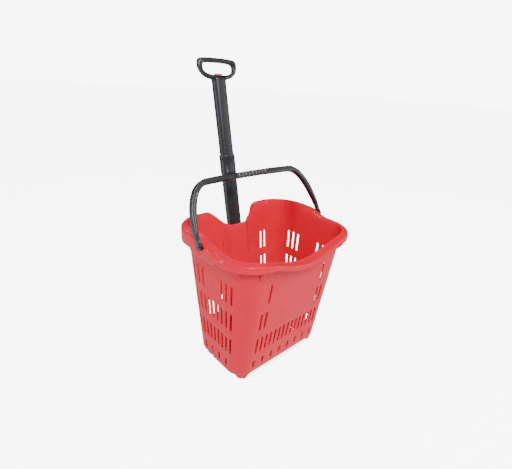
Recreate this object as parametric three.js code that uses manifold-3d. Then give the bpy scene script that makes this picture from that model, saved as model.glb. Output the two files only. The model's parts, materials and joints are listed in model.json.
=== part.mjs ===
// Rolling shopping basket: a moulded basket on two rear wheels and two front feet, with a
// swinging bail handle and a three-stage telescopic pull handle in a groove of its back wall.
//
// Millimetres, +Z up. Basket frame: X along the long side, -Y the front, +Y the handle side,
// z = 0 the ground. The whole is then shifted along Y so that the origin lies under the
// middle of the object's overall box.
import * as THREE from 'three';
import { mergeVertices } from 'three/addons/utils/BufferGeometryUtils.js';
import Module from 'manifold-3d';

const wasm = await Module();
wasm.setup();

// ---------------------------------------------------------------- driving dimensions

const GAP = 0.3;                    // clearance between touching pieces
const MERGE = 0.02;                 // details finer than this are merged away after a boolean

// basket
const RIM_LENGTH = 470;
const RIM_DEPTH = 355;
const RIM_RADIUS = 104;
const WALL = 3;
const FLOOR_Z = 20;                 // underside of the floor
const FLOOR_THICK = 3.5;
const END_HALF = 181;               // half length of the outer wall at z = 0
const END_DRAFT = 0.066;
const SIDE_HALF = 104.7;            // half depth of the outer wall at z = 0
const SIDE_DRAFT = 0.117;
const CORNER_RADIUS = 50;
const CORNER_GROWTH = 0.035;        // corner radius gained per millimetre of height
const CREST_REF = 430;              // height at which the crest's plan is laid out

// rim: crest heights, flange and skirt
const CREST_FRONT = 432;
const CREST_BACK = 451;
const RISE_FROM = -60;              // the crest climbs along the ends from here
const RISE_LENGTH = 100;
const CREST_NOTCH = 401;            // in front of the pull handle
const NOTCH_HALF = 28;
const NOTCH_RISE = 80;
const FRONT_DIP = 41;
const FRONT_DIP_HALF = 200;
const FRONT_BAND = 100;             // the dip counts only this far in front of the middle
const CREST_STEP = 0.8;             // the flange starts this far below the crest
const FLANGE_DROP = 5;
const FLANGE_THICK = 4;
const SKIRT_LOW = 407;              // the skirt's lower edge
const SKIRT_MIN = 17;               // its least depth below the crest
const WEB_X = 168;                  // webs between wall and skirt near the corners
const WEB_Y = 112;
const WEB_THICK = 2.6;
const WEB_DEPTH = 18;

// pull handle
const POLE_Y = 158;                 // a point of its axis
const POLE_Z = 389;
const POLE_SLOPE = 0.2237;          // backwards travel per unit of height
const POLE_TILT = Math.atan(POLE_SLOPE);
const TUBE_WALL = 1.7;
const RUNNING = 0.45;               // sliding clearance between the stages
const TOP_HALF = [21.9, 16.4];    // half width and half depth of the top stage
const MID_HALF = TOP_HALF.map((h) => h + RUNNING + TUBE_WALL);
const SLEEVE_WALL = 2.2;
const SLEEVE_HALF = MID_HALF.map((h) => h + RUNNING + SLEEVE_WALL);
const OVAL_RADIUS = 14;             // corner radius of the top stage's section
const SLEEVE_TOP = -6;              // stations along the pole axis, 0 at POLE_Z
const SLEEVE_BOTTOM = -276;
const MID_TOP = 226;
const MID_BOTTOM = -80;
const COLLAR_TOP = 228.5;
const COLLAR_BOTTOM = 171;
const TOP_TOP = 451;
const TOP_BOTTOM = 168;
const COLLAR_WALL = 1.2;
const PLUG_LENGTH = 24;
const SLEEVE_PLUG = 10;
const SLEEVE_PLUG_BORE = 5;
const MID_PLUG_BORE = 9;
const CUT_REACH = 40;               // cutters across the pole run this far from its axis
const ROD_RADIUS = 3;
const RIVET_Y = -4;
const RIVET_STATION = 214;
const RIVET_RADIUS = 1.6;
const RIVET_HEAD = 2.8;
const LATCH_STATION = 178;
const PIN_RADIUS = 4;
const PIN_HEEL = 7;                 // inner end of each latch pin
const PIN_SET_BACK = 0.6;           // the pins' tips stand this far inside the middle stage
const PIN_NOTCH = [9.5, 19];        // from and to along each pin, for the push rod's prong
const MID_WINDOW_GAP = 0.6;         // round the pins, in the middle stage
const TOP_WINDOW_GAP = 0.4;
const FORK_SLOT = [17.5, 3.6];      // half width and half depth of the slot in the top stage's plug
const LATCH_SPRING_RADIUS = 2.8;
const LATCH_SPRING_LENGTH = 13;
const FORK_X = 14.5;                // prongs of the push rod, one in each pin's notch
const FORK_WEB = 1.2;
const FORK_HALF = 16;

// channel for the pull handle in the back wall
const CHANNEL_GAP = 1.5;            // from the sleeve to the channel's face
const CHANNEL_HALF = SLEEVE_HALF[0] + 2.5;
const CHANNEL_MOUTH = 48;           // half width at the back wall
const FLANGE_END = 62;              // the rim's flange stops this far from the middle
const FLANGE_STUB = 7;              // its width there
const FLANGE_TAPER = 36;            // length over which it widens

// clamps that hold the sleeve to the back wall, stations along the pole axis
const CLAMP_STATIONS = [-56, -226];
const CLAMP_WIDTH = 26;
const CLAMP_EAR = 68;
const CLAMP_SCREW_X = 59;
const CLAMP_STRAP = 3;
const CLAMP_PLATE = 4;
const SCREW_RADIUS = 1.8;
const CLAMP_SCREWS = CLAMP_STATIONS.flatMap((station) => [
  { x: -CLAMP_SCREW_X, station },
  { x: CLAMP_SCREW_X, station },
]);

// ring handle, stations along the pole axis
const RING_THICK = 16;
const RING_HALF = 71;
const RING_BAR = 13;
const RING_BASE = TOP_TOP;
const RING_HOLE_LOW = 465;
const RING_HOLE_HIGH = 498.5;
const RING_SCREW_STATION = 446.5;
const RING_SCREW_RADIUS = 1.6;
const RING_SHANK = 28;              // length of the ring's shank inside the top tube
const BUTTON_TRAVEL = 5;
const BUTTON_STEM_LOW = 440;
const BUTTON_LOW = 459;
const BUTTON_TOP = 470;
const BUTTON_HALF = [14, 5];
const SPRING_LOW = 449;
const SPRING_POCKET = 6.2;          // radius
const STEM_RADIUS = 3.5;

// bail handle
const PIVOT_X = 240.5;
const PIVOT_Y = 0;
const PIVOT_Z = 434;
const BAIL_LEAN = THREE.MathUtils.degToRad(31.5);
const BAIL_LEG = [5, 7];            // half width along X, half depth
const BAIL_BAR = [8.8, 8];          // half height, half depth of the crossbar
const BAIL_SHOULDER = 30;
const BAIL_REACH = 165.5;
const BAIL_CORNER = 17;             // the corner's control point lies this far inside the leg
const BAIL_BAR_HALF = 156;
const BAIL_CROWN = 3;
const EYE_RADIUS = 10;
const STUD_RADIUS = 4.5;
const STUD_LENGTH = 12;
const STOP_RADIUS = 3;              // lug that the leaning leg rests against
const STOP_STATION = 11;
const BLOCK_HALF = 66;              // block that carries the pivot, under the flange
const BLOCK_LOW = 395;
const BLOCK_RISE = 12;

// wheels
const WHEEL_RADIUS = 36;
const WHEEL_Y = 54.5;
const WHEEL_OUT = 169;              // outer face
const WHEEL_WIDTH = 22;
const WHEEL_SIDES = 28;
const HUB_HOLES = 5;
const AXLE_RADIUS = 4;
const WELL_CLEAR = 3;
const WELL_SKIN = 2.2;              // outer wall left beside the wheel
const BOSS_RADIUS = 8;
const ARCH_TOP = 30;                // the outer wall is open round the wheel below this height
const BOSS_GAP = 2;                 // from the wheel's outer face to the boss
const WELL_BEYOND = 195;            // the well's cutters end here, outside the wall
const AXLE_HOLE_PAST = 9;           // the axle's hole starts this far inside the axle's end
const WELL_IN = WHEEL_OUT - WHEEL_WIDTH - 1.5;
const AXLE_IN = WELL_IN - WALL - 4.5;
const AXLE_OUT = 181;
const TYRE_THICK = 8;

// front feet
const FOOT_X = 150;
const FOOT_Y = -86;

// slots in the walls
const SLOT_ROWS = { A: [280, 344], B: [190, 252], C: [100, 160], D: [42, 71] };
const FRONT_PITCH = 18.2;
const END_PITCH = 19.8;
const END_FAN = 0.00094;            // the end slots spread upwards
const FAN_REF = 200;
const FRONT_SLOT = 7.6;
const END_SLOT = 8.6;
const SLOT_DEPTH = 44;              // length of the cutting prism

// slots in the floor
const FLOOR_SLOT_PITCH = 25;
const FLOOR_SLOT_REACH = 125;
const FLOOR_SLOT_HALF = 3;
const FLOOR_SLOT_ROWS = [[-75, -28], [-12, 35]];

// division of the basket's plan
const ARC_STEPS = 6;
const BACK_STEPS = 8;
const END_STEPS = 7;
const FRONT_STEPS = 14;

// colours
const RED = 0xe8323c;
const BLACK = 0x24272b;
const STEEL = 0xb9bcc0;
const GREY = 0x4a4d50;
const BUTTON_RED = 0xe2405a;

// ---------------------------------------------------------------- helpers

const object = new THREE.Group();
const basketFrame = new THREE.Group();
object.add(basketFrame);
const poleFrame = new THREE.Group();
poleFrame.position.set(0, POLE_Y, POLE_Z);
poleFrame.rotation.x = -POLE_TILT;
basketFrame.add(poleFrame);

function addMesh(parent, name, solid, color, roughness, metalness = 0) {
  const geometry = solid.isBufferGeometry ? solid : geometryOf(solid);
  const material = new THREE.MeshStandardMaterial({ color, roughness, metalness });
  const mesh = new THREE.Mesh(geometry, material);
  mesh.name = name;
  parent.add(mesh);
  return mesh;
}

function solidOf(geometry) {
  const bare = geometry.clone();
  bare.deleteAttribute('normal');
  bare.deleteAttribute('uv');
  const merged = mergeVertices(bare, 1e-4);
  return new wasm.Manifold(new wasm.Mesh({
    numProp: 3,
    vertProperties: new Float32Array(merged.attributes.position.array),
    triVerts: new Uint32Array(merged.index.array),
  }));
}

function geometryOf(solid) {
  const mesh = solid.simplify(MERGE).getMesh();
  const geometry = new THREE.BufferGeometry();
  geometry.setAttribute('position', new THREE.BufferAttribute(mesh.vertProperties, 3));
  geometry.setIndex(new THREE.BufferAttribute(mesh.triVerts, 1));
  geometry.computeVertexNormals();
  return geometry;
}

// A closed solid through rings of points; each ring runs counter-clockwise seen from the
// side towards which the rings advance.
function loft(rings) {
  const count = rings[0].length;
  const positions = rings.flat().flatMap((p) => [p.x, p.y, p.z]);
  const index = [];
  for (let r = 0; r + 1 < rings.length; r += 1) {
    for (let j = 0; j < count; j += 1) {
      const a = r * count + j;
      const b = r * count + ((j + 1) % count);
      index.push(a, b, b + count);
      index.push(a, b + count, a + count);
    }
  }
  capFaces(rings[0]).forEach(([a, b, c]) => index.push(a, c, b));
  const last = (rings.length - 1) * count;
  capFaces(rings.at(-1)).forEach(([a, b, c]) => index.push(last + a, last + b, last + c));
  const geometry = new THREE.BufferGeometry();
  geometry.setAttribute('position', new THREE.Float32BufferAttribute(positions, 3));
  geometry.setIndex(index);
  geometry.computeVertexNormals();
  return geometry;
}

// Triangles of a flat ring, counter-clockwise as the ring itself.
function capFaces(ring) {
  const normal = new THREE.Vector3();
  const middle = ring.reduce((sum, p) => sum.add(p), new THREE.Vector3()).divideScalar(ring.length);
  ring.forEach((p, j) => {
    const q = ring[(j + 1) % ring.length];
    normal.add(p.clone().sub(middle).cross(q.clone().sub(middle)));
  });
  normal.normalize();
  const turn = new THREE.Quaternion().setFromUnitVectors(normal, new THREE.Vector3(0, 0, 1));
  const flat = ring.map((p) => {
    const q = p.clone().sub(middle).applyQuaternion(turn);
    return new THREE.Vector2(q.x, q.y);
  });
  return THREE.ShapeUtils.triangulateShape(flat, []);
}

function box(x0, x1, y0, y1, z0, z1) {
  const geometry = new THREE.BoxGeometry(x1 - x0, y1 - y0, z1 - z0);
  return geometry.translate((x0 + x1) / 2, (y0 + y1) / 2, (z0 + z1) / 2);
}

function cylinderX(radius, x0, x1, y, z, sides = 24) {
  const geometry = new THREE.CylinderGeometry(radius, radius, x1 - x0, sides);
  return geometry.rotateZ(Math.PI / 2).translate((x0 + x1) / 2, y, z);
}

function cylinderY(radius, y0, y1, x, z, sides = 16) {
  const geometry = new THREE.CylinderGeometry(radius, radius, y1 - y0, sides);
  return geometry.translate(x, (y0 + y1) / 2, z);
}

function cylinderZ(radius, z0, z1, x = 0, y = 0, sides = 20) {
  const geometry = new THREE.CylinderGeometry(radius, radius, z1 - z0, sides);
  return geometry.rotateX(Math.PI / 2).translate(x, y, (z0 + z1) / 2);
}

// Moves a geometry from the pole's own frame into the basket's.
function toBasket(geometry) {
  poleFrame.updateMatrix();
  return geometry.applyMatrix4(poleFrame.matrix);
}

function stationHeight(station) {
  return POLE_Z + station * Math.cos(POLE_TILT);
}

function smooth(t) {
  const s = THREE.MathUtils.clamp(t, 0, 1);
  return s * s * (3 - 2 * s);
}

function mirrorX(geometry) {
  const copy = geometry.index ? geometry.toNonIndexed() : geometry.clone();
  const position = copy.attributes.position;
  for (let i = 0; i < position.count; i += 3) {
    const corners = [0, 2, 1].map((k) => new THREE.Vector3().fromBufferAttribute(position, i + k));
    corners.forEach((p, k) => position.setXYZ(i + k, -p.x, p.y, p.z));
  }
  return copy;
}

// ---------------------------------------------------------------- basket

const endHalf = (z) => END_HALF + END_DRAFT * z;
const sideHalf = (z) => SIDE_HALF + SIDE_DRAFT * z;
const cornerRadius = (z) => CORNER_RADIUS + CORNER_GROWTH * z;
const poleAxisY = (z) => POLE_Y + POLE_SLOPE * (z - POLE_Z);
const channelFaceY = (z) => poleAxisY(z) - SLEEVE_HALF[1] / Math.cos(POLE_TILT) - CHANNEL_GAP;

// Plan of a rounded rectangle, counter-clockwise from the right end of the channel round to
// its left end. Every plan has the same number of points, so that plans can be joined.

function roundedPlan(halfX, halfY, radius, mouth) {
  const cx = halfX - radius;
  const cy = halfY - radius;
  const plan = [];
  const line = (x0, y0, x1, y1, steps) => {
    for (let i = 0; i < steps; i += 1) {
      plan.push([x0 + ((x1 - x0) * i) / steps, y0 + ((y1 - y0) * i) / steps]);
    }
  };
  const arc = (x, y, start) => {
    for (let i = 0; i < ARC_STEPS; i += 1) {
      const a = start + (i * Math.PI) / 2 / ARC_STEPS;
      plan.push([x + radius * Math.cos(a), y + radius * Math.sin(a)]);
    }
  };
  line(-mouth, halfY, -cx, halfY, BACK_STEPS);
  arc(-cx, cy, Math.PI / 2);
  line(-halfX, cy, -halfX, -cy, END_STEPS);
  arc(-cx, -cy, Math.PI);
  line(-cx, -halfY, cx, -halfY, FRONT_STEPS);
  arc(cx, -cy, -Math.PI / 2);
  line(halfX, -cy, halfX, cy, END_STEPS);
  arc(cx, cy, 0);
  line(cx, halfY, mouth, halfY, BACK_STEPS);
  plan.push([mouth, halfY]);
  return plan;
}

// The channel from its right edge to its left edge, moved inwards by the wall's inset.
function channelPlan(z, inset) {
  const face = channelFaceY(z) - inset;
  const back = sideHalf(z) - inset;
  const inner = CHANNEL_HALF + inset;
  const mouth = CHANNEL_MOUTH + inset;
  const middle = (inner + mouth) / 2;
  const half = (face + back) / 2;
  return [[middle, half], [inner, face], [inner / 3, face], [-inner / 3, face], [-inner, face],
    [-middle, half]];
}

function wallPlan(z, inset) {
  const radius = cornerRadius(z) - inset;
  const outline = roundedPlan(endHalf(z) - inset, sideHalf(z) - inset, radius, CHANNEL_MOUTH + inset);
  return [...outline, ...channelPlan(z, inset)];
}

// Height of the rim's crest over a point of the plan.
function crestHeight(x, y) {
  const along = smooth((y - RISE_FROM) / RISE_LENGTH);
  const base = CREST_FRONT + (CREST_BACK - CREST_FRONT) * along;
  if (y > 0) {
    const rise = smooth((Math.abs(x) - NOTCH_HALF) / NOTCH_RISE);
    return Math.min(base, CREST_NOTCH + (CREST_BACK - CREST_NOTCH) * rise);
  }
  if (y < -FRONT_BAND && Math.abs(x) < FRONT_DIP_HALF) {
    const bell = Math.cos((Math.PI * x) / (2 * FRONT_DIP_HALF)) ** 2;
    return base - FRONT_DIP * bell;
  }
  return base;
}

const crestPlan = wallPlan(CREST_REF, 0);
const crests = crestPlan.map(([x, y]) => crestHeight(x, y));

function wallRing(inset, heightOf) {
  return crests.map((crest, j) => {
    const z = heightOf(crest);
    const [x, y] = wallPlan(z, inset)[j];
    return new THREE.Vector3(x, y, z);
  });
}

function basketShell() {
  const edge = 1;
  const fillet = 6;
  return solidOf(loft([
    wallRing(fillet - 1, () => FLOOR_Z),
    wallRing(0, () => FLOOR_Z + fillet),
    wallRing(0, (crest) => crest - edge),
    wallRing(WALL / 2, (crest) => crest),
    wallRing(WALL, (crest) => crest - edge),
    wallRing(WALL, () => FLOOR_Z + FLOOR_THICK + fillet),
    wallRing(WALL + fillet - 1, () => FLOOR_Z + FLOOR_THICK),
  ]));
}

// The rim: a sloping flange with a hanging skirt, as a band from one side of the channel
// round to the other.
function rimFlange() {
  const rimPlan = roundedPlan(RIM_LENGTH / 2, RIM_DEPTH / 2, RIM_RADIUS, FLANGE_END);
  const rings = rimPlan.map(([rx, ry], j) => {
    const crest = crestHeight(...roundedPlan(endHalf(CREST_REF), sideHalf(CREST_REF),
      cornerRadius(CREST_REF), FLANGE_END)[j]);
    const [wx, wy] = roundedPlan(endHalf(crest), sideHalf(crest), cornerRadius(crest), FLANGE_END)[j];
    const full = Math.hypot(rx - wx, ry - wy);
    const taper = wy > 0 ? smooth((Math.abs(wx) - FLANGE_END) / FLANGE_TAPER) : 1;
    const width = THREE.MathUtils.lerp(FLANGE_STUB, full, taper);
    const drop = FLANGE_DROP * (width / full);
    const low = Math.min(SKIRT_LOW, crest - SKIRT_MIN);
    const at = (out, z) => {
      const t = out / full;
      return new THREE.Vector3(wx + (rx - wx) * t, wy + (ry - wy) * t, z);
    };
    return [
      at(-WALL / 2, crest - CREST_STEP),
      at(-WALL / 2, crest - CREST_STEP - FLANGE_THICK),
      at(width - WALL - 0.5, crest - drop - FLANGE_THICK),
      at(width - WALL, low),
      at(width, low),
      at(width, crest - drop - 4),
      at(width - 1.2, crest - drop - 1),
      at(width - 4, crest - drop + 1.8),
    ].reverse();
  });
  return solidOf(loft(rings));
}

// One slot as a prism with chamfered ends, long side upright, centred on the origin and
// running through along Y.
function slotPrism(width, height) {
  const w = width / 2;
  const h = height / 2;
  const cut = w * 0.6;
  const outline = [[-w, -h + cut], [-w + cut, -h], [w - cut, -h], [w, -h + cut],
    [w, h - cut], [w - cut, h], [-w + cut, h], [-w, h - cut]];
  const shape = new THREE.Shape(outline.map(([x, y]) => new THREE.Vector2(x, y)));
  const geometry = new THREE.ExtrudeGeometry(shape, { depth: SLOT_DEPTH, bevelEnabled: false });
  return geometry.translate(0, 0, -SLOT_DEPTH / 2).rotateX(Math.PI / 2);
}

function rowSlots(row, places, width, pitch, place) {
  const [low, high] = SLOT_ROWS[row];
  return places.map((k) => {
    const z = (low + high) / 2;
    return place(slotPrism(width, high - low), k, z, pitch);
  });
}

function frontSlots() {
  const place = (slot, k, z, pitch) => slot.translate(k * pitch, -sideHalf(z), z);
  const every = [...Array(15).keys()].map((i) => i - 7);
  return [
    ...rowSlots('A', [-6, 6], FRONT_SLOT, FRONT_PITCH, place),
    ...rowSlots('B', [-7, -6, 6, 7], FRONT_SLOT, FRONT_PITCH, place),
    ...rowSlots('C', every, FRONT_SLOT, FRONT_PITCH, place),
    ...rowSlots('D', every.filter((k) => k % 2), FRONT_SLOT, FRONT_PITCH, place),
  ];
}

function backSlots() {
  const place = (slot, k, z, pitch) => slot.translate(k * pitch, sideHalf(z), z);
  return [
    ...rowSlots('A', [-7, -6, 6, 7], FRONT_SLOT, FRONT_PITCH, place),
    ...rowSlots('B', [-7, -6, 6, 7], FRONT_SLOT, FRONT_PITCH, place),
    ...rowSlots('C', [-7, -6, -5, -4, 4, 5, 6, 7], FRONT_SLOT, FRONT_PITCH, place),
    ...rowSlots('D', [-5, 5], FRONT_SLOT, FRONT_PITCH, place),
  ];
}

function endSlots(side) {
  const place = (slot, k, z, pitch) => {
    const spread = 1 + END_FAN * (z - FAN_REF);
    const tilt = Math.atan(k * pitch * END_FAN);
    return slot.rotateY(tilt).rotateZ(Math.PI / 2).translate(side * endHalf(z), k * pitch * spread, z);
  };
  const every = [...Array(9).keys()].map((i) => i - 4);
  return [
    ...rowSlots('A', [-4, -3, -2, 2, 3, 4], END_SLOT, END_PITCH, place),
    ...rowSlots('B', every, END_SLOT, END_PITCH, place),
    ...rowSlots('C', every, END_SLOT, END_PITCH, place),
    ...rowSlots('D', [-3, -1, 1, 3], END_SLOT, END_PITCH, place),
  ];
}

function floorSlots() {
  const slots = [];
  for (let x = -FLOOR_SLOT_REACH; x <= FLOOR_SLOT_REACH; x += FLOOR_SLOT_PITCH) {
    for (const [y0, y1] of FLOOR_SLOT_ROWS) {
      slots.push(box(x - FLOOR_SLOT_HALF, x + FLOOR_SLOT_HALF, y0, y1,
        FLOOR_Z - 5, FLOOR_Z + FLOOR_THICK + 5));
    }
  }
  return slots;
}

// Solid inside the wall's outer surface moved inwards by an inset, through the given heights;
// a second value in a pair gives the height whose plan is used there.
function envelope(heights, inset) {
  return solidOf(loft(heights.map(([z, planZ = z]) => (
    wallPlan(planZ, inset).map(([x, y]) => new THREE.Vector3(x, y, z))))));
}

// Webs between the wall and the skirt on both sides of each corner.
function cornerWebs() {
  const webs = [];
  const web = (crest) => {
    const low = Math.min(SKIRT_LOW, crest - SKIRT_MIN);
    const outline = [[-1, crest - 3], [WEB_DEPTH, crest - 6], [WEB_DEPTH, low - 4], [-1, low - 16]];
    const shape = new THREE.Shape(outline.map(([x, z]) => new THREE.Vector2(x, z)));
    const geometry = new THREE.ExtrudeGeometry(shape, { depth: WEB_THICK, bevelEnabled: false });
    return geometry.translate(0, 0, -WEB_THICK / 2).rotateX(Math.PI / 2);
  };
  const cornerX = endHalf(SKIRT_LOW) - cornerRadius(SKIRT_LOW);
  const cornerY = sideHalf(SKIRT_LOW) - cornerRadius(SKIRT_LOW);
  const wallX = cornerX + Math.sqrt(cornerRadius(SKIRT_LOW) ** 2 - (WEB_Y - cornerY) ** 2);
  const wallY = cornerY + Math.sqrt(cornerRadius(SKIRT_LOW) ** 2 - (WEB_X - cornerX) ** 2);
  for (const sx of [-1, 1]) {
    for (const sy of [-1, 1]) {
      const turn = sx > 0 ? 0 : Math.PI;
      webs.push(web(crestHeight(sx * wallX, sy * WEB_Y)).rotateZ(turn)
        .translate(sx * wallX, sy * WEB_Y, 0));
      webs.push(web(crestHeight(sx * WEB_X, sy * wallY)).rotateZ((sy * Math.PI) / 2)
        .translate(sx * WEB_X, sy * wallY, 0));
    }
  }
  return webs;
}

// Block under the flange at each end, which carries the bail's pivot and the lug that its
// leaning leg rests against.
function pivotBlock(side) {
  const crest = (y) => crestHeight(endHalf(CREST_REF), y);
  const outer = RIM_LENGTH / 2 - 0.4;
  const inner = endHalf(CREST_REF) - WALL / 2;
  const rings = [-1, -0.8, -0.5, -0.25, 0, 0.25, 0.5, 0.8, 1].map((t) => {
    const y = t * BLOCK_HALF;
    const low = BLOCK_LOW + (Math.abs(t) < 1 ? 0 : BLOCK_RISE);
    return [
      new THREE.Vector3(inner, y, low + 6),
      new THREE.Vector3(inner, y, crest(y) - 3),
      new THREE.Vector3(outer - 4, y, crest(y) - FLANGE_DROP - 1),
      new THREE.Vector3(outer, y, crest(y) - FLANGE_DROP - 5),
      new THREE.Vector3(outer, y, low + 4),
      new THREE.Vector3(outer - 4, y, low),
      new THREE.Vector3(inner + 6, y, low),
    ];
  });
  const block = solidOf(loft(rings));
  const beside = BAIL_LEG[1] + GAP + STOP_RADIUS;
  const stopY = PIVOT_Y + STOP_STATION * Math.sin(BAIL_LEAN) + beside * Math.cos(BAIL_LEAN);
  const stopZ = PIVOT_Z + STOP_STATION * Math.cos(BAIL_LEAN) - beside * Math.sin(BAIL_LEAN);
  const lug = solidOf(cylinderX(STOP_RADIUS, outer - 4, PIVOT_X, stopY, stopZ, 16));
  const whole = block.add(lug);
  return side > 0 ? whole : solidOf(mirrorX(geometryOf(whole)));
}

function pivotHole(side) {
  const bottom = PIVOT_X - BAIL_LEG[0] - STUD_LENGTH - GAP;
  const [x0, x1] = side > 0 ? [bottom, PIVOT_X] : [-PIVOT_X, -bottom];
  return solidOf(cylinderX(STUD_RADIUS + GAP, x0, x1, PIVOT_Y, PIVOT_Z, 20));
}

// Foot under a front corner, tapering downwards, its long side across the corner.
function frontFoot(side) {
  const turn = side * THREE.MathUtils.degToRad(45);
  const ring = (halfX, halfY, z) => [[-1, -1], [1, -1], [1, 1], [-1, 1]].map(([sx, sy]) => {
    const p = new THREE.Vector3(sx * halfX, sy * halfY, 0).applyAxisAngle(new THREE.Vector3(0, 0, 1), turn);
    return new THREE.Vector3(side * FOOT_X + p.x, FOOT_Y + p.y, z);
  });
  return solidOf(loft([ring(11, 7, 0), ring(13, 8.5, 3), ring(24, 11, FLOOR_Z + 1)]))
    .intersect(envelope([[-1, FLOOR_Z], [FLOOR_Z + 2]], 4));
}

function wheelWell(side) {
  const [x0, x1] = side > 0 ? [WELL_IN - WALL, WELL_BEYOND] : [-WELL_BEYOND, WALL - WELL_IN];
  const [c0, c1] = side > 0 ? [WELL_IN, WELL_BEYOND] : [-WELL_BEYOND, -WELL_IN];
  const bossFace = WHEEL_OUT + BOSS_GAP;
  const [b0, b1] = side > 0 ? [bossFace, WELL_BEYOND] : [-WELL_BEYOND, -bossFace];
  const holeIn = AXLE_IN - AXLE_HOLE_PAST;
  const holeOut = AXLE_OUT + GAP;
  const [h0, h1] = side > 0 ? [holeIn, holeOut] : [-holeOut, -holeIn];
  const radius = WHEEL_RADIUS + WELL_CLEAR;
  const top = WHEEL_RADIUS + radius + 2 * WALL;
  const round = solidOf(cylinderX(radius + WALL, x0, x1, WHEEL_Y, WHEEL_RADIUS, 28));
  const arch = solidOf(cylinderX(radius, c0, c1, WHEEL_Y, WHEEL_RADIUS, 28))
    .intersect(solidOf(box(c0, c1, WHEEL_Y - radius, WHEEL_Y + radius, FLOOR_Z - 5, ARCH_TOP)));
  const boss = solidOf(cylinderX(BOSS_RADIUS, b0, b1, WHEEL_Y, WHEEL_RADIUS, 20));
  const axleHole = solidOf(cylinderX(AXLE_RADIUS + GAP, h0, h1, WHEEL_Y, WHEEL_RADIUS, 16));
  const space = solidOf(cylinderX(radius, c0, c1, WHEEL_Y, WHEEL_RADIUS, 28))
    .add(solidOf(box(c0, c1, WHEEL_Y - radius, WHEEL_Y + radius, -5, WHEEL_RADIUS)))
    .intersect(envelope([[-10, FLOOR_Z + 10], [FLOOR_Z + 10], [top]], WELL_SKIN))
    .subtract(boss)
    .add(arch.subtract(boss))
    .add(axleHole);
  return { block: round.intersect(envelope([[FLOOR_Z], [top]], 0.2)), space };
}

function basketTub() {
  let tub = basketShell().add(rimFlange());
  cornerWebs().forEach((web) => { tub = tub.add(solidOf(web)); });
  for (const side of [-1, 1]) {
    const well = wheelWell(side);
    tub = tub.add(pivotBlock(side)).add(frontFoot(side)).add(well.block);
    tub = tub.subtract(pivotHole(side)).subtract(well.space);
  }
  const cuts = [...frontSlots(), ...backSlots(), ...endSlots(-1), ...endSlots(1), ...floorSlots()];
  cuts.forEach((cut) => { tub = tub.subtract(solidOf(cut)); });
  for (const { x, station } of CLAMP_SCREWS) {
    const hole = cylinderY(SCREW_RADIUS + 0.5, -30, 40, x, station);
    tub = tub.subtract(solidOf(toBasket(hole)));
  }
  return tub;
}

addMesh(basketFrame, 'basket_tub', basketTub(), RED, 0.45);

// ---------------------------------------------------------------- bail handle

// A swept bar in its own plane: local X across, local Z up from the pivots, local Y deep.
function bailPath() {
  const shoulder = new THREE.Vector2(PIVOT_X, BAIL_SHOULDER);
  const corner = new THREE.Vector2(PIVOT_X - BAIL_CORNER, BAIL_REACH);
  const barEnd = new THREE.Vector2(BAIL_BAR_HALF, BAIL_REACH);
  const half = [new THREE.Vector2(PIVOT_X, 0), new THREE.Vector2(PIVOT_X, BAIL_SHOULDER / 2)];
  const bend = new THREE.QuadraticBezierCurve(shoulder, corner, barEnd);
  half.push(...bend.getPoints(12));
  for (const t of [1 / 3, 2 / 3]) {
    half.push(new THREE.Vector2(BAIL_BAR_HALF * (1 - t), BAIL_REACH + BAIL_CROWN * (1 - (1 - t) ** 2)));
  }
  const top = new THREE.Vector2(0, BAIL_REACH + BAIL_CROWN);
  const left = half.map((p) => new THREE.Vector2(-p.x, p.y));
  return [...left, top, ...half.reverse()];
}

function bailHandle() {
  const path = bailPath();
  const rings = path.map((p, i) => {
    const before = path[Math.max(i - 1, 0)];
    const after = path[Math.min(i + 1, path.length - 1)];
    const tangent = after.clone().sub(before).normalize();
    const normal = new THREE.Vector2(-tangent.y, tangent.x);
    const grip = smooth((p.y - BAIL_SHOULDER) / (BAIL_REACH - BAIL_SHOULDER));
    const inPlane = THREE.MathUtils.lerp(BAIL_LEG[0], BAIL_BAR[0], grip);
    const deep = THREE.MathUtils.lerp(BAIL_LEG[1], BAIL_BAR[1], grip);
    return chamferedSection(inPlane, deep, 2.5).map(([u, v]) => (
      new THREE.Vector3(p.x + normal.x * u, -v, p.y + normal.y * u)));
  });
  let bail = solidOf(loft(rings));
  for (const side of [-1, 1]) {
    const x = side * PIVOT_X;
    bail = bail.add(solidOf(cylinderX(EYE_RADIUS, x - BAIL_LEG[0], x + BAIL_LEG[0], 0, 0, 24)));
    const tip = side * (PIVOT_X - BAIL_LEG[0] - STUD_LENGTH);
    bail = bail.add(solidOf(cylinderX(STUD_RADIUS, Math.min(tip, x), Math.max(tip, x), 0, 0, 20)));
  }
  return bail;
}

function chamferedSection(halfU, halfV, cut) {
  return [[halfU, -halfV + cut], [halfU, halfV - cut], [halfU - cut, halfV], [-halfU + cut, halfV],
    [-halfU, halfV - cut], [-halfU, -halfV + cut], [-halfU + cut, -halfV], [halfU - cut, -halfV]];
}

const bailFrame = new THREE.Group();
bailFrame.position.set(0, PIVOT_Y, PIVOT_Z);
bailFrame.rotation.x = -BAIL_LEAN;
basketFrame.add(bailFrame);
addMesh(bailFrame, 'bail_handle', bailHandle(), BLACK, 0.5);

// ---------------------------------------------------------------- pull handle: tubes

function grow(half, by) {
  return half.map((h) => h + by);
}

function ovalRing([halfX, halfY], station, growth = 0) {
  const radius = Math.min(OVAL_RADIUS + growth, halfX - 1, halfY - 1);
  const ring = [];
  const corners = [[1, 1, 0], [-1, 1, 90], [-1, -1, 180], [1, -1, 270]];
  for (const [sx, sy, start] of corners) {
    for (let i = 0; i <= 4; i += 1) {
      const a = THREE.MathUtils.degToRad(start + i * 22.5);
      ring.push(new THREE.Vector3(sx * (halfX - radius) + radius * Math.cos(a),
        sy * (halfY - radius) + radius * Math.sin(a), station));
    }
  }
  return ring;
}

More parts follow.
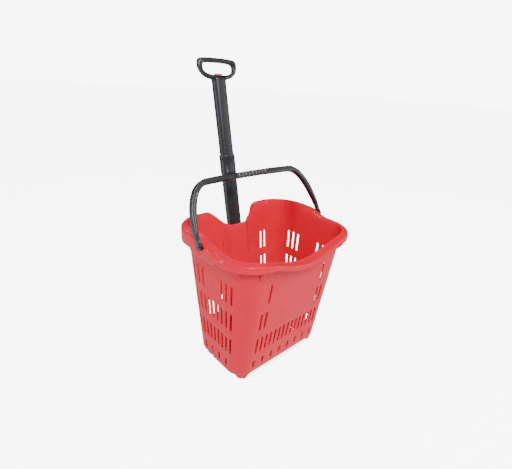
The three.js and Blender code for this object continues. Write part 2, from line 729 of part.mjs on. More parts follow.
function ovalBlock(half, low, high, growth = 0) {
  return solidOf(loft([ovalRing(half, low, growth), ovalRing(half, high, growth)]));
}

function ovalTube(half, wall, low, high, growth = 0) {
  return ovalBlock(half, low, high, growth)
    .subtract(ovalBlock(grow(half, -wall), low - 1, high + 1, growth - wall));
}

const MID_GROWTH = RUNNING + TUBE_WALL;
const SLEEVE_GROWTH = MID_GROWTH + RUNNING + SLEEVE_WALL;
const MID_INNER = grow(MID_HALF, -TUBE_WALL);
const TOP_INNER = grow(TOP_HALF, -TUBE_WALL);
const SLEEVE_INNER = grow(SLEEVE_HALF, -SLEEVE_WALL);

addMesh(poleFrame, 'pole_sleeve',
  ovalTube(SLEEVE_HALF, SLEEVE_WALL, SLEEVE_BOTTOM, SLEEVE_TOP, SLEEVE_GROWTH), BLACK, 0.45);
addMesh(poleFrame, 'sleeve_end_plug',
  ovalBlock(grow(SLEEVE_INNER, -GAP), SLEEVE_BOTTOM, SLEEVE_BOTTOM + SLEEVE_PLUG,
    SLEEVE_GROWTH - SLEEVE_WALL)
    .subtract(solidOf(cylinderZ(SLEEVE_PLUG_BORE, SLEEVE_BOTTOM - 1, SLEEVE_TOP))), BLACK, 0.5);

// middle stage, with windows for the latch pins and holes for the collar's rivets
const rivetHole = () => solidOf(
  cylinderX(RIVET_RADIUS + GAP, -CUT_REACH, CUT_REACH, RIVET_Y, RIVET_STATION, 16),
);

function midTube() {
  const window = cylinderX(PIN_RADIUS + MID_WINDOW_GAP, -CUT_REACH, CUT_REACH, 0, LATCH_STATION, 16);
  return ovalTube(MID_HALF, TUBE_WALL, MID_BOTTOM, MID_TOP, MID_GROWTH)
    .subtract(solidOf(window)).subtract(rivetHole());
}

function midCollar() {
  const half = grow(MID_HALF, COLLAR_WALL);
  const below = COLLAR_BOTTOM - 1;
  return ovalBlock(half, COLLAR_BOTTOM, COLLAR_TOP, MID_GROWTH + COLLAR_WALL)
    .subtract(ovalBlock(grow(MID_HALF, GAP), below, MID_TOP + GAP, MID_GROWTH))
    .subtract(ovalBlock(grow(TOP_HALF, RUNNING), MID_TOP, COLLAR_TOP + 1))
    .subtract(rivetHole());
}

function collarRivet(side) {
  const face = MID_HALF[0] + COLLAR_WALL;
  const disc = (radius, x0, x1) => {
    const [a, b] = side > 0 ? [x0, x1] : [-x1, -x0];
    return solidOf(cylinderX(radius, a, b, RIVET_Y, RIVET_STATION, 16));
  };
  return disc(RIVET_HEAD, face + GAP / 2, face + 1.1).add(disc(RIVET_RADIUS, MID_INNER[0] + 0.6, face + 0.5));
}

addMesh(poleFrame, 'mid_tube', midTube(), BLACK, 0.4);
addMesh(poleFrame, 'mid_collar', midCollar(), BLACK, 0.4);
addMesh(poleFrame, 'collar_rivet_left', collarRivet(-1), GREY, 0.5);
addMesh(poleFrame, 'collar_rivet_right', collarRivet(1), GREY, 0.5);
addMesh(poleFrame, 'mid_stage_plug',
  ovalBlock(grow(MID_INNER, -GAP), MID_BOTTOM, MID_BOTTOM + PLUG_LENGTH, RUNNING)
    .subtract(solidOf(cylinderZ(MID_PLUG_BORE, MID_BOTTOM - 1, MID_BOTTOM + PLUG_LENGTH + 1))), BLACK, 0.5);

// top stage with its plug and latch
function topTube() {
  const window = cylinderX(PIN_RADIUS + TOP_WINDOW_GAP, -CUT_REACH, CUT_REACH, 0, LATCH_STATION, 16);
  const screwHole = cylinderY(RING_SCREW_RADIUS + GAP, 0, CUT_REACH, 0, RING_SCREW_STATION);
  return ovalTube(TOP_HALF, TUBE_WALL, TOP_BOTTOM, TOP_TOP)
    .subtract(solidOf(window)).subtract(solidOf(screwHole));
}

function topPlug() {
  const low = TOP_BOTTOM + GAP;
  const high = low + PLUG_LENGTH;
  const [slotX, slotY] = FORK_SLOT;
  return ovalBlock(grow(TOP_INNER, -GAP), low, high, -TUBE_WALL)
    .subtract(solidOf(cylinderX(PIN_RADIUS + GAP, -CUT_REACH, CUT_REACH, 0, LATCH_STATION, 20)))
    .subtract(solidOf(box(-slotX, slotX, -slotY, slotY, LATCH_STATION, high + 1)));
}

function latchPin(side) {
  const reach = MID_INNER[0] - PIN_SET_BACK;
  const [x0, x1] = side > 0 ? [PIN_HEEL, reach] : [-reach, -PIN_HEEL];
  const [near, far] = PIN_NOTCH;
  const [n0, n1] = side > 0 ? [near, far] : [-far, -near];
  const notch = box(n0, n1, -PIN_RADIUS - 1, PIN_RADIUS + 1, LATCH_STATION - 0.5, LATCH_STATION + 9);
  return solidOf(cylinderX(PIN_RADIUS, x0, x1, 0, LATCH_STATION, 20)).subtract(solidOf(notch));
}

// A wire wound round the station axis or, when lying, round X.
function spring(radius, wire, length, turns) {
  const steps = Math.round(turns * 10);
  const rings = [];
  for (let i = 0; i <= steps; i += 1) {
    const a = (2 * Math.PI * turns * i) / steps;
    const out = new THREE.Vector3(Math.cos(a), Math.sin(a), 0);
    const centre = out.clone().multiplyScalar(radius);
    centre.z = wire + ((length - 2 * wire) * i) / steps;
    rings.push([...Array(6).keys()].map((k) => {
      const b = (k * Math.PI) / 3;
      const p = centre.clone().addScaledVector(out, wire * Math.cos(b));
      p.z -= wire * Math.sin(b);
      return p;
    }));
  }
  return loft(rings);
}

function pushRod() {
  let rod = solidOf(cylinderZ(ROD_RADIUS, LATCH_STATION + 10, BUTTON_STEM_LOW - GAP));
  rod = rod.add(solidOf(box(-FORK_HALF, FORK_HALF, -ROD_RADIUS, ROD_RADIUS,
    LATCH_STATION + 9, LATCH_STATION + 12)));
  for (const x of [-FORK_X, FORK_X]) {
    rod = rod.add(solidOf(box(x - FORK_WEB, x + FORK_WEB, -ROD_RADIUS, ROD_RADIUS,
      LATCH_STATION + 5.2, LATCH_STATION + 10)));
  }
  return rod;
}

addMesh(poleFrame, 'top_tube', topTube(), BLACK, 0.4);
addMesh(poleFrame, 'top_stage_plug', topPlug(), GREY, 0.5);
addMesh(poleFrame, 'latch_pin_left', latchPin(-1), GREY, 0.4);
addMesh(poleFrame, 'latch_pin_right', latchPin(1), GREY, 0.4);
addMesh(poleFrame, 'latch_spring',
  spring(LATCH_SPRING_RADIUS, 0.5, LATCH_SPRING_LENGTH, 4).rotateY(Math.PI / 2)
    .translate(-LATCH_SPRING_LENGTH / 2, 0, LATCH_STATION), STEEL, 0.3, 1);
addMesh(poleFrame, 'push_rod', pushRod(), GREY, 0.5);

// ---------------------------------------------------------------- ring handle and button

// Outline of the ring in its own plane: a flat triangle with its point down, well rounded.
function ringOutline(halfWidth, low, high, baseHalf, radius) {
  const shape = new THREE.Shape();
  const shoulder = high - radius;
  shape.moveTo(-baseHalf, low);
  shape.lineTo(baseHalf, low);
  shape.bezierCurveTo(halfWidth * 0.72, low + 2, halfWidth, shoulder - radius, halfWidth, shoulder);
  shape.bezierCurveTo(halfWidth, high - 3, halfWidth - 6, high - 1, halfWidth - radius, high);
  shape.bezierCurveTo(halfWidth * 0.3, high + 2, -halfWidth * 0.3, high + 2, radius - halfWidth, high);
  shape.bezierCurveTo(6 - halfWidth, high - 1, -halfWidth, high - 3, -halfWidth, shoulder);
  shape.bezierCurveTo(-halfWidth, shoulder - radius, -halfWidth * 0.72, low + 2, -baseHalf, low);
  return shape;
}

function ringHandle() {
  const top = RING_HOLE_HIGH + RING_BAR;
  const bevel = 4;
  const outer = ringOutline(RING_HALF - bevel, RING_BASE + bevel + 1, top - bevel, 22, 20);
  const hole = ringOutline(RING_HALF - RING_BAR - 3 + bevel, RING_HOLE_LOW - bevel,
    RING_HOLE_HIGH + bevel, 17, 14);
  outer.holes.push(hole);
  const plate = new THREE.ExtrudeGeometry(outer, {
    depth: RING_THICK - 2 * bevel,
    bevelThickness: bevel,
    bevelSize: bevel,
    bevelSegments: 2,
    curveSegments: 5,
  });
  plate.translate(0, 0, bevel - RING_THICK / 2).rotateX(Math.PI / 2);
  const neck = loft([
    ovalRing(grow(TOP_HALF, 0.6), RING_BASE + GAP),
    ovalRing(grow(TOP_HALF, 0.6), RING_BASE + 3),
    ovalRing([25, 11], RING_BASE + 9),
    ovalRing([24, 7.9], RING_BASE + 12),
  ]);
  let ring = solidOf(plate).add(solidOf(neck));
  ring = ring.add(ovalBlock(grow(TOP_INNER, -GAP), RING_BASE - RING_SHANK, RING_BASE + 2, -TUBE_WALL));
  const [bx, by] = BUTTON_HALF;
  ring = ring.subtract(solidOf(box(-bx - 0.4, bx + 0.4, -by - 0.4, by + 0.4,
    BUTTON_LOW - BUTTON_TRAVEL - 0.5, RING_HOLE_LOW + 8)));
  ring = ring.subtract(solidOf(cylinderZ(SPRING_POCKET, SPRING_LOW, BUTTON_LOW)));
  ring = ring.subtract(solidOf(cylinderZ(STEM_RADIUS + 0.4, RING_BASE - RING_SHANK - 1, BUTTON_LOW)));
  return ring.subtract(solidOf(cylinderY(RING_SCREW_RADIUS + GAP, 9, CUT_REACH, 0, RING_SCREW_STATION)));
}

function releaseButton() {
  const [bx, by] = BUTTON_HALF;
  const section = (x, y, station) => chamferedSection(x, y, 1.5).map(([u, v]) => (
    new THREE.Vector3(u, v, station)));
  const cap = loft([section(bx, by, BUTTON_LOW), section(bx, by, BUTTON_TOP - 2.5),
    section(bx - 3, by - 0.8, BUTTON_TOP - 0.8), section(bx - 7, by - 2, BUTTON_TOP)]);
  return solidOf(cap).add(solidOf(cylinderZ(STEM_RADIUS, BUTTON_STEM_LOW, BUTTON_LOW + 2)));
}

function ringScrew() {
  const face = TOP_HALF[1] + GAP;
  const head = cylinderY(2.4, face, face + 1.2, 0, RING_SCREW_STATION);
  return solidOf(head).add(solidOf(cylinderY(RING_SCREW_RADIUS, 10, face + 0.6, 0, RING_SCREW_STATION)));
}

addMesh(poleFrame, 'ring_handle', ringHandle(), BLACK, 0.5);
addMesh(poleFrame, 'release_button', releaseButton(), BUTTON_RED, 0.4);
addMesh(poleFrame, 'button_spring',
  spring(4.9, 0.6, BUTTON_LOW - SPRING_LOW - 2 * GAP, 3).translate(0, 0, SPRING_LOW + GAP), STEEL, 0.3, 1);
addMesh(poleFrame, 'ring_screw', ringScrew(), STEEL, 0.3, 1);

// ---------------------------------------------------------------- clamps on the back wall

function clamp(station) {
  const z = stationHeight(station);
  const plane = (sideHalf(z) - poleAxisY(z)) * Math.cos(POLE_TILT);
  const half = CLAMP_WIDTH / 2;
  const strap = grow(SLEEVE_HALF, GAP + CLAMP_STRAP);
  let body = ovalBlock(strap, station - half, station + half, SLEEVE_GROWTH + CLAMP_STRAP);
  const span = [station - half, station + half];
  const mouth = CHANNEL_MOUTH + 3;
  body = body.add(solidOf(box(-mouth - 1, mouth + 1, plane + 1.2, plane + CLAMP_PLATE, ...span)));
  body = body.add(solidOf(box(mouth, CLAMP_EAR, plane - 1, plane + CLAMP_PLATE, ...span)));
  body = body.add(solidOf(box(-CLAMP_EAR, -mouth, plane - 1, plane + CLAMP_PLATE, ...span)));
  body = body.subtract(ovalBlock(grow(SLEEVE_HALF, GAP), station - 30, station + 30, SLEEVE_GROWTH));
  body = body.subtract(solidOf(box(-90, 90, -90, plane - 7, station - 40, station + 40)));
  for (const x of [-CLAMP_SCREW_X, CLAMP_SCREW_X]) {
    body = body.subtract(solidOf(cylinderY(SCREW_RADIUS + GAP, -40, 60, x, station)));
  }
  return solidOf(toBasket(geometryOf(body))).subtract(envelope([[z - 60], [z + 60]], -GAP));
}

function clampScrew({ x, station }) {
  const z = stationHeight(station);
  const plane = (sideHalf(z) - poleAxisY(z)) * Math.cos(POLE_TILT);
  const seat = plane + CLAMP_PLATE + GAP;
  const head = cylinderY(4, seat, seat + 2.4, x, station);
  const shank = cylinderY(SCREW_RADIUS, plane - 4, seat + 1, x, station);
  return toBasket(geometryOf(solidOf(head).add(solidOf(shank))));
}

addMesh(basketFrame, 'upper_clamp', clamp(CLAMP_STATIONS[0]), BLACK, 0.5);
addMesh(basketFrame, 'lower_clamp', clamp(CLAMP_STATIONS[1]), BLACK, 0.5);
const SCREW_NAMES = ['upper_left', 'upper_right', 'lower_left', 'lower_right'];
CLAMP_SCREWS.forEach((screw, i) => {
  addMesh(basketFrame, `clamp_screw_${SCREW_NAMES[i]}`, clampScrew(screw), STEEL, 0.3, 1);
});

// ---------------------------------------------------------------- wheels

function turned(profile, sides) {
  const points = [...profile, profile[0]].map(([r, x]) => new THREE.Vector2(r, x));
  return new THREE.LatheGeometry(points, sides).rotateZ(Math.PI / 2);
}

function wheelTyre() {
  const w = WHEEL_WIDTH / 2;
  const r = WHEEL_RADIUS;
  const profile = [[r - TYRE_THICK, -w + 1], [r - 4, -w], [r - 1.2, -w + 2], [r, -w + 6], [r, w - 6],
    [r - 1.2, w - 2], [r - 4, w], [r - TYRE_THICK, w - 1]];
  return turned(profile, WHEEL_SIDES);
}

function wheelHub() {
  const w = WHEEL_WIDTH / 2;
  const rim = WHEEL_RADIUS - TYRE_THICK - GAP;
  const profile = [[6.4, -w], [10, -w], [10, -3], [rim - 4, -3], [rim - 4, -w + 1.5], [rim, -w + 1.5],
    [rim, w - 1.5], [rim - 4, w - 1.5], [rim - 4, 3], [10, 3], [10, w], [6.4, w]];
  let hub = solidOf(turned(profile, WHEEL_SIDES));
  for (let i = 0; i < HUB_HOLES; i += 1) {
    const a = (i * 2 * Math.PI) / HUB_HOLES;
    const hole = cylinderX(3.6, -w, w, 17 * Math.cos(a), 17 * Math.sin(a), 8);
    hub = hub.subtract(solidOf(hole));
  }
  return hub;
}

for (const [side, label] of [[-1, 'left'], [1, 'right']]) {
  const wheel = new THREE.Group();
  wheel.position.set(side * (WHEEL_OUT - WHEEL_WIDTH / 2), WHEEL_Y, WHEEL_RADIUS);
  basketFrame.add(wheel);
  const bush = [[AXLE_RADIUS + GAP, -WHEEL_WIDTH / 2], [6.1, -WHEEL_WIDTH / 2],
    [6.1, WHEEL_WIDTH / 2], [AXLE_RADIUS + GAP, WHEEL_WIDTH / 2]];
  addMesh(wheel, `wheel_tyre_${label}`, solidOf(wheelTyre()), GREY, 0.8);
  addMesh(wheel, `wheel_hub_${label}`, wheelHub(), GREY, 0.5);
  addMesh(wheel, `wheel_bush_${label}`, solidOf(turned(bush, 20)), STEEL, 0.4);
  const [a0, a1] = side > 0 ? [AXLE_IN, AXLE_OUT] : [-AXLE_OUT, -AXLE_IN];
  addMesh(basketFrame, `wheel_axle_${label}`,
    solidOf(cylinderX(AXLE_RADIUS, a0, a1, WHEEL_Y, WHEEL_RADIUS, 20)), STEEL, 0.3, 1);
  const [k0, k1] = side > 0 ? [AXLE_IN + 0.5, AXLE_IN + 4] : [-AXLE_IN - 4, -AXLE_IN - 0.5];
  addMesh(basketFrame, `axle_cap_${label}`,
    solidOf(cylinderX(8, k0, k1, WHEEL_Y, WHEEL_RADIUS, 24))
      .subtract(solidOf(cylinderX(AXLE_RADIUS + GAP, k0 - 1, k1 + 1, WHEEL_Y, WHEEL_RADIUS, 20))),
    STEEL, 0.4, 1);
}

// ---------------------------------------------------------------- place the origin

basketFrame.updateMatrixWorld(true);
const bounds = new THREE.Box3().setFromObject(basketFrame, true);
basketFrame.position.y = -(bounds.min.y + bounds.max.y) / 2;

export default object;
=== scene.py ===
import json
import math

import bmesh
import bpy
from mathutils import Matrix, Vector


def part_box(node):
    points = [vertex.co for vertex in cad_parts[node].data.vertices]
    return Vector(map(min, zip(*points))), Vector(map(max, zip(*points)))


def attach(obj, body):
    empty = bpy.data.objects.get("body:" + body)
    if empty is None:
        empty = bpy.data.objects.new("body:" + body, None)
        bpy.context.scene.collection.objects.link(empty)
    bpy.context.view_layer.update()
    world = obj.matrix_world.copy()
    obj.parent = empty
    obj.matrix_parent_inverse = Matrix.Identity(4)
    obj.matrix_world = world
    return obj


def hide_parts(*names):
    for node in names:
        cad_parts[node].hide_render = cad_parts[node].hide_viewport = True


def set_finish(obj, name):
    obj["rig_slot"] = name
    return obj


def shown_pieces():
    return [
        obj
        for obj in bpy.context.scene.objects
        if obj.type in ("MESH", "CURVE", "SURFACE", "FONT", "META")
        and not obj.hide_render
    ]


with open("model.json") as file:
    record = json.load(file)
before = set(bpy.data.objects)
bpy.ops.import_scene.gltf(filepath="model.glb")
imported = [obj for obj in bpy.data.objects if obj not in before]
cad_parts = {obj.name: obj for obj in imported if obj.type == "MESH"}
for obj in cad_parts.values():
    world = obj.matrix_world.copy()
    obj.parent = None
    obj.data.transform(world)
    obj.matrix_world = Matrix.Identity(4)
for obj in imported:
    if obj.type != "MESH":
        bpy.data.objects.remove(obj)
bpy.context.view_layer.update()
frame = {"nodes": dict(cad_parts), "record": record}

nodes = frame["nodes"]

# ------------------------------------------------------------------ dimensions (millimetres)

MM = 0.001
SHIFT_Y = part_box("basket_tub")[0].y / MM + 177.5      # basket frame to row frame

RIM_X, RIM_Y, RIM_RADIUS = 235.0, 177.5, 104.0
WALL = 3.0
FLOOR_Z, FLOOR_TOP = 20.0, 23.5
CREST_REF = 430.0
CREST_FRONT, CREST_BACK, CREST_NOTCH = 432.0, 451.0, 401.0
RISE_FROM, RISE_LENGTH = -60.0, 100.0
NOTCH_HALF, NOTCH_RISE = 28.0, 80.0
FRONT_DIP, FRONT_DIP_HALF, FRONT_BAND = 41.0, 200.0, 100.0
FLANGE_DROP, SKIRT_LOW, SKIRT_MIN, SKIRT_THICK = 5.0, 407.0, 17.0, 2.6
WEB_X, WEB_Y, WEB_DEPTH = 160.0, 119.0, 18.0
POLE_Y, POLE_Z, POLE_SLOPE = 158.0, 389.0, 0.2237
POLE_TILT = math.atan(POLE_SLOPE)
TOP_HALF = (21.9, 16.4)
MID_HALF = (24.05, 18.55)
SLEEVE_HALF = (26.7, 21.2)
COLLAR_HALF = (25.25, 19.75)
CHANNEL_HALF, CHANNEL_MOUTH, CHANNEL_GAP = 29.2, 48.0, 1.5
PIVOT_X, PIVOT_Z = 240.5, 434.0
BAIL_LEAN = math.radians(31.5)
BAIL_LEG, BAIL_BAR = (5.0, 7.0), (8.8, 8.0)
BAIL_SHOULDER, BAIL_REACH, BAIL_CORNER = 30.0, 165.5, 17.0
BAIL_BAR_HALF, BAIL_CROWN = 156.0, 3.0
EYE_RADIUS, STUD_RADIUS, STUD_LENGTH = 10.0, 4.5, 12.0
STOP_RADIUS, STOP_STATION = 3.0, 11.0
BLOCK_HALF, BLOCK_LOW, BLOCK_RISE = 66.0, 395.0, 12.0
WHEEL_RADIUS, WHEEL_Y, WHEEL_OUT, WHEEL_WIDTH = 36.0, 54.5, 169.0, 22.0
WELL_IN = WHEEL_OUT - WHEEL_WIDTH - 1.5
WELL_RADIUS = WHEEL_RADIUS + 3
WELL_TOP = WHEEL_RADIUS + WELL_RADIUS + 6
WELL_SKIN = 2.2                     # outer wall left beside the wheel
WELL_BEYOND = 195                   # the well's cutters end here, outside the wall
BOSS_RADIUS, BOSS_GAP, BOSS_BEYOND = 8, 2, 198
AXLE_HOLE, AXLE_HOLE_IN, AXLE_HOLE_OUT = 4.3, 129, 181.3
ARCH_TOP = 30.0                     # the outer wall is open round the wheel below this height
END_BASE, END_SLOPE = 181, 0.066    # half size or radius at height 0, and growth per millimetre
SIDE_BASE, SIDE_SLOPE = 104.7, 0.117
CORNER_BASE, CORNER_SLOPE = 50, 0.035
FRONT_PITCH, FRONT_SLOT = 18.2, 7.6
END_PITCH, END_SLOT = 19.8, 8.6
END_FAN, FAN_REF = 0.00094, 200     # the end slots spread upwards
FOOT_X, FOOT_Y = 150, -86
CLAMP_SCREW_X, CLAMP_STATIONS = 59, (-56, -226)
RIB_PITCH, RIB_HALF, RIB_DEPTH = 13.0, 60, 1.2      # ribs of the bail's grip
LEG_RISE = 70                       # the bail's leg widens to the bar's width over this height
LEG_DEPTH, LEG_DEPTH_FROM, LEG_DEPTH_RISE = 8.4, 18, 24       # its half depth, and where it grows to it
GROOVE_DEPTH, GROOVE_FADE_FROM, GROOVE_FADE = 1.6, 110, 40    # the legs' grooves fade out upwards
SLEEVE_WALL, TUBE_WALL, TUBE_LIP = 2.2, 1.7, 0.5
SLEEVE_ROUND, MID_ROUND, TOP_ROUND, COLLAR_ROUND = 18.8, 16.15, 14, 17.35     # corner radii
SLEEVE_ENDS, MID_ENDS, TOP_ENDS = (-276, -6), (-80, 226), (168, 451)        # stations on the pole
RING_HALF, RING_SCREW_AT = 8, 446.5
RIVET_Y, RIVET_AT = -4, 214
BUTTON_HALF, BUTTON_STEM = (14, 5), 3.5
CLAMP_SCREW = (4, 2.4, 1.8, 8.3)    # head radius, head height, shank radius, shank length
RING_SCREW = (2.4, 1.2, 1.6, 6.7)
RIVET = (2.8, 0.95, 1.6, 2.4)
HUB_HOLE, HUB_HOLE_CIRCLE, HUB_HOLES = 3.6, 17, 5
FLOOR_SLOT, FLOOR_SLOT_PITCH, FLOOR_SLOT_ROWS = (6, 47), 25, (-51.5, 11.5)


def smooth(t):
    s = min(max(t, 0.0), 1.0)
    return s * s * (3 - 2 * s)


def lerp(a, b, t):
    return a + (b - a) * t


def row(x, y, z):
    """A point of the basket's own frame, in millimetres, as a row frame point in metres."""
    return Vector((x, y + SHIFT_Y, z)) * MM


POLE = (Matrix.Translation(row(0, POLE_Y, POLE_Z)) @ Matrix.Rotation(-POLE_TILT, 4, "X")
        @ Matrix.Scale(MM, 4))
BASKET = Matrix.Translation(row(0, 0, 0)) @ Matrix.Scale(MM, 4)
BAIL = (Matrix.Translation(row(0, 0, PIVOT_Z)) @ Matrix.Rotation(-BAIL_LEAN, 4, "X")
        @ Matrix.Scale(MM, 4))


# ------------------------------------------------------------------ mesh helpers

def piece(name, mesh_data, place, angle=38):
    """A new object from (points, faces) in millimetres, placed and made permanent in the row frame."""
    points, faces = mesh_data
    mesh = bpy.data.meshes.new(name)
    mesh.from_pydata([tuple(place @ Vector(p)) for p in points], [], faces)
    bm = bmesh.new()
    bm.from_mesh(mesh)
    bmesh.ops.remove_doubles(bm, verts=bm.verts, dist=1e-6)
    bmesh.ops.recalc_face_normals(bm, faces=bm.faces)
    bm.to_mesh(mesh)
    bm.free()
    obj = bpy.data.objects.new(name, mesh)
    bpy.context.scene.collection.objects.link(obj)
    soften(obj, angle)
    return obj


def soften(obj, angle):
    """Smooth shading with the edges sharper than the angle kept."""
    mesh = obj.data
    mesh.polygons.foreach_set("use_smooth", [True] * len(mesh.polygons))
    mesh.set_sharp_from_angle(angle=math.radians(angle))


def loft(rings, closed=False):
    """Quads between rings of equally many points; closed joins the last ring to the first."""
    count = len(rings[0])
    points = [p for ring in rings for p in ring]
    faces = []
    last = len(rings) if closed else len(rings) - 1
    for r in range(last):
        s = (r + 1) % len(rings)
        for j in range(count):
            k = (j + 1) % count
            faces.append((r * count + j, r * count + k, s * count + k, s * count + j))
    if not closed:
        faces.append(tuple(range(count))[::-1])
        faces.append(tuple((len(rings) - 1) * count + j for j in range(count)))
    return points, faces


def join(*parts):
    points, faces = [], []
    for p, f in parts:
        base = len(points)
        points += list(p)
        faces += [tuple(i + base for i in face) for face in f]
    return points, faces


def block(x0, x1, y0, y1, z0, z1):
    rings = [[(x0, y0, z), (x1, y0, z), (x1, y1, z), (x0, y1, z)] for z in (z0, z1)]
    return loft(rings)


def turned(profile, sides, axis="X", at=(0, 0, 0), closed=True):
    """A profile of (radius, along) points turned about an axis through a point."""
    rings = []
    for radius, along in profile:
        ring = []
        for i in range(sides):
            a = 2 * math.pi * i / sides
            u, v = radius * math.cos(a), radius * math.sin(a)
            p = {"X": (along, u, v), "Y": (v, along, u), "Z": (u, v, along)}[axis]
            ring.append(tuple(p[k] + at[k] for k in range(3)))
        rings.append(ring)
    return loft(rings, closed=closed)


def rod(radius, low, high, axis="X", at=(0, 0, 0), sides=32, cut=0.0):
    profile = [(radius, low), (radius, high)]
    if cut:
        profile = [(radius - cut, low), (radius, low + cut), (radius, high - cut), (radius - cut, high)]
    return turned(profile, sides, axis, at, closed=False)


def rounded_ring(half_x, half_y, radius, z, steps=8):
    radius = min(radius, half_x - 0.01, half_y - 0.01)
    ring = []
    for sx, sy, start in ((1, 1, 0), (-1, 1, 90), (-1, -1, 180), (1, -1, 270)):
        for i in range(steps + 1):
            a = math.radians(start + 90 * i / steps)
            ring.append((sx * (half_x - radius) + radius * math.cos(a),
                         sy * (half_y - radius) + radius * math.sin(a), z))
    return ring


def tube(half, wall, low, high, radius):
    """A rounded rectangular tube with softened ends."""
    hx, hy = half
    lip = TUBE_LIP
    rings = []
    for inset, z in ((0, low + lip), (0, high - lip), (lip, high), (wall - 0.3, high),
                     (wall, high - 0.4), (wall, low + 0.4), (wall - 0.3, low), (lip, low)):
        rings.append(rounded_ring(hx - inset, hy - inset, radius - inset, z))
    return loft(rings, closed=True)


def combine(obj, other, operation="UNION"):
    """Joins or cuts with another object, which is used up."""
    modifier = obj.modifiers.new("boolean", "BOOLEAN")
    modifier.operation = operation
    modifier.object = other
    modifier.solver = "MANIFOLD"
    before = len(obj.data.polygons)
    freeze(obj)
    data = other.data
    bpy.data.objects.remove(other)
    bpy.data.meshes.remove(data)
    if len(obj.data.polygons) == before:
        print("note: a boolean on", obj.name, "changed nothing")


def boolean(obj, cutter_data, place, operation):
    """Joins or cuts one closed shape, with the result made permanent."""
    combine(obj, piece("cutter", cutter_data, place), operation)


def freeze(obj):
    """Applies every modifier."""
    graph = bpy.context.evaluated_depsgraph_get()
    fresh = bpy.data.meshes.new_from_object(obj.evaluated_get(graph))
    old = obj.data
    obj.modifiers.clear()
    obj.data = fresh
    fresh.name = obj.name
    bpy.data.meshes.remove(old)


def bevel(obj, width, segments=2):
    modifier = obj.modifiers.new("edges", "BEVEL")
    modifier.width = width * MM
    modifier.segments = segments
    modifier.limit_method = "ANGLE"
    modifier.angle_limit = math.radians(50)
    modifier.use_clamp_overlap = True
    modifier.harden_normals = False
    freeze(obj)


# ------------------------------------------------------------------ basket shape

def end_half(z):
    return END_BASE + END_SLOPE * z


def side_half(z):
    return SIDE_BASE + SIDE_SLOPE * z


def corner_radius(z):
    return CORNER_BASE + CORNER_SLOPE * z


def pole_axis_y(z):
    return POLE_Y + POLE_SLOPE * (z - POLE_Z)


def channel_face_y(z):
    return pole_axis_y(z) - SLEEVE_HALF[1] / math.cos(POLE_TILT) - CHANNEL_GAP


ARC, BACK, ENDS, FRONT = 14, 30, 20, 48     # steps along each stretch of the plan


def rounded_plan(half_x, half_y, radius, mouth):
    cx, cy = half_x - radius, half_y - radius
    plan = []

    def line(x0, y0, x1, y1, steps):
        for i in range(steps):
            plan.append((lerp(x0, x1, i / steps), lerp(y0, y1, i / steps)))

    def arc(x, y, start):
        for i in range(ARC):
            a = math.radians(start + 90 * i / ARC)
            plan.append((x + radius * math.cos(a), y + radius * math.sin(a)))

    line(-mouth, half_y, -cx, half_y, BACK)
    arc(-cx, cy, 90)
    line(-half_x, cy, -half_x, -cy, ENDS)
    arc(-cx, -cy, 180)
    line(-cx, -half_y, cx, -half_y, FRONT)
    arc(cx, -cy, 270)
    line(half_x, -cy, half_x, cy, ENDS)
    arc(cx, cy, 0)
    line(cx, half_y, mouth, half_y, BACK)
    plan.append((mouth, half_y))
    return plan


def channel_plan(z, inset):
    """The groove for the pull handle from its right edge to its left edge, corners rounded."""
    face, back = channel_face_y(z) - inset, side_half(z) - inset
    inner, mouth = CHANNEL_HALF + inset, CHANNEL_MOUTH + inset
    corner = (inner, face)
    side = Vector((mouth - inner, back - face))
    depth = side.length
    side = side / max(depth, 1e-6)
    round_off = min(11.0, depth * 0.45)
    half = []
    for t in (0.25, 0.5, 0.75):
        reach = lerp(depth, round_off, t)
        half.append((corner[0] + side.x * reach, corner[1] + side.y * reach))
    start = Vector((corner[0] + side.x * round_off, corner[1] + side.y * round_off))
    end = Vector((corner[0] - round_off, corner[1]))
    middle = Vector(corner)
    for i in range(7):
        t = i / 6
        p = start * (1 - t) ** 2 + middle * (2 * t * (1 - t)) + end * t * t
        half.append((p.x, p.y))
    half.append((end.x * 0.5, face))
    return half + [(0.0, face)] + [(-x, y) for x, y in reversed(half)]


def wall_plan(z, inset):
    outline = rounded_plan(end_half(z) - inset, side_half(z) - inset, corner_radius(z) - inset,
                           CHANNEL_MOUTH + inset)
    return outline + channel_plan(z, inset)


def crest_height(x, y):
    base = lerp(CREST_FRONT, CREST_BACK, smooth((y - RISE_FROM) / RISE_LENGTH))
    if y > 0:
        rise = smooth((abs(x) - NOTCH_HALF) / NOTCH_RISE)
        return min(base, lerp(CREST_NOTCH, CREST_BACK, rise))
    if y < -FRONT_BAND and abs(x) < FRONT_DIP_HALF:
        return base - FRONT_DIP * math.cos(math.pi * x / (2 * FRONT_DIP_HALF)) ** 2
    return base


CREST_PLAN = wall_plan(CREST_REF, 0)
CRESTS = [crest_height(x, y) for x, y in CREST_PLAN]
LEVELS = 14


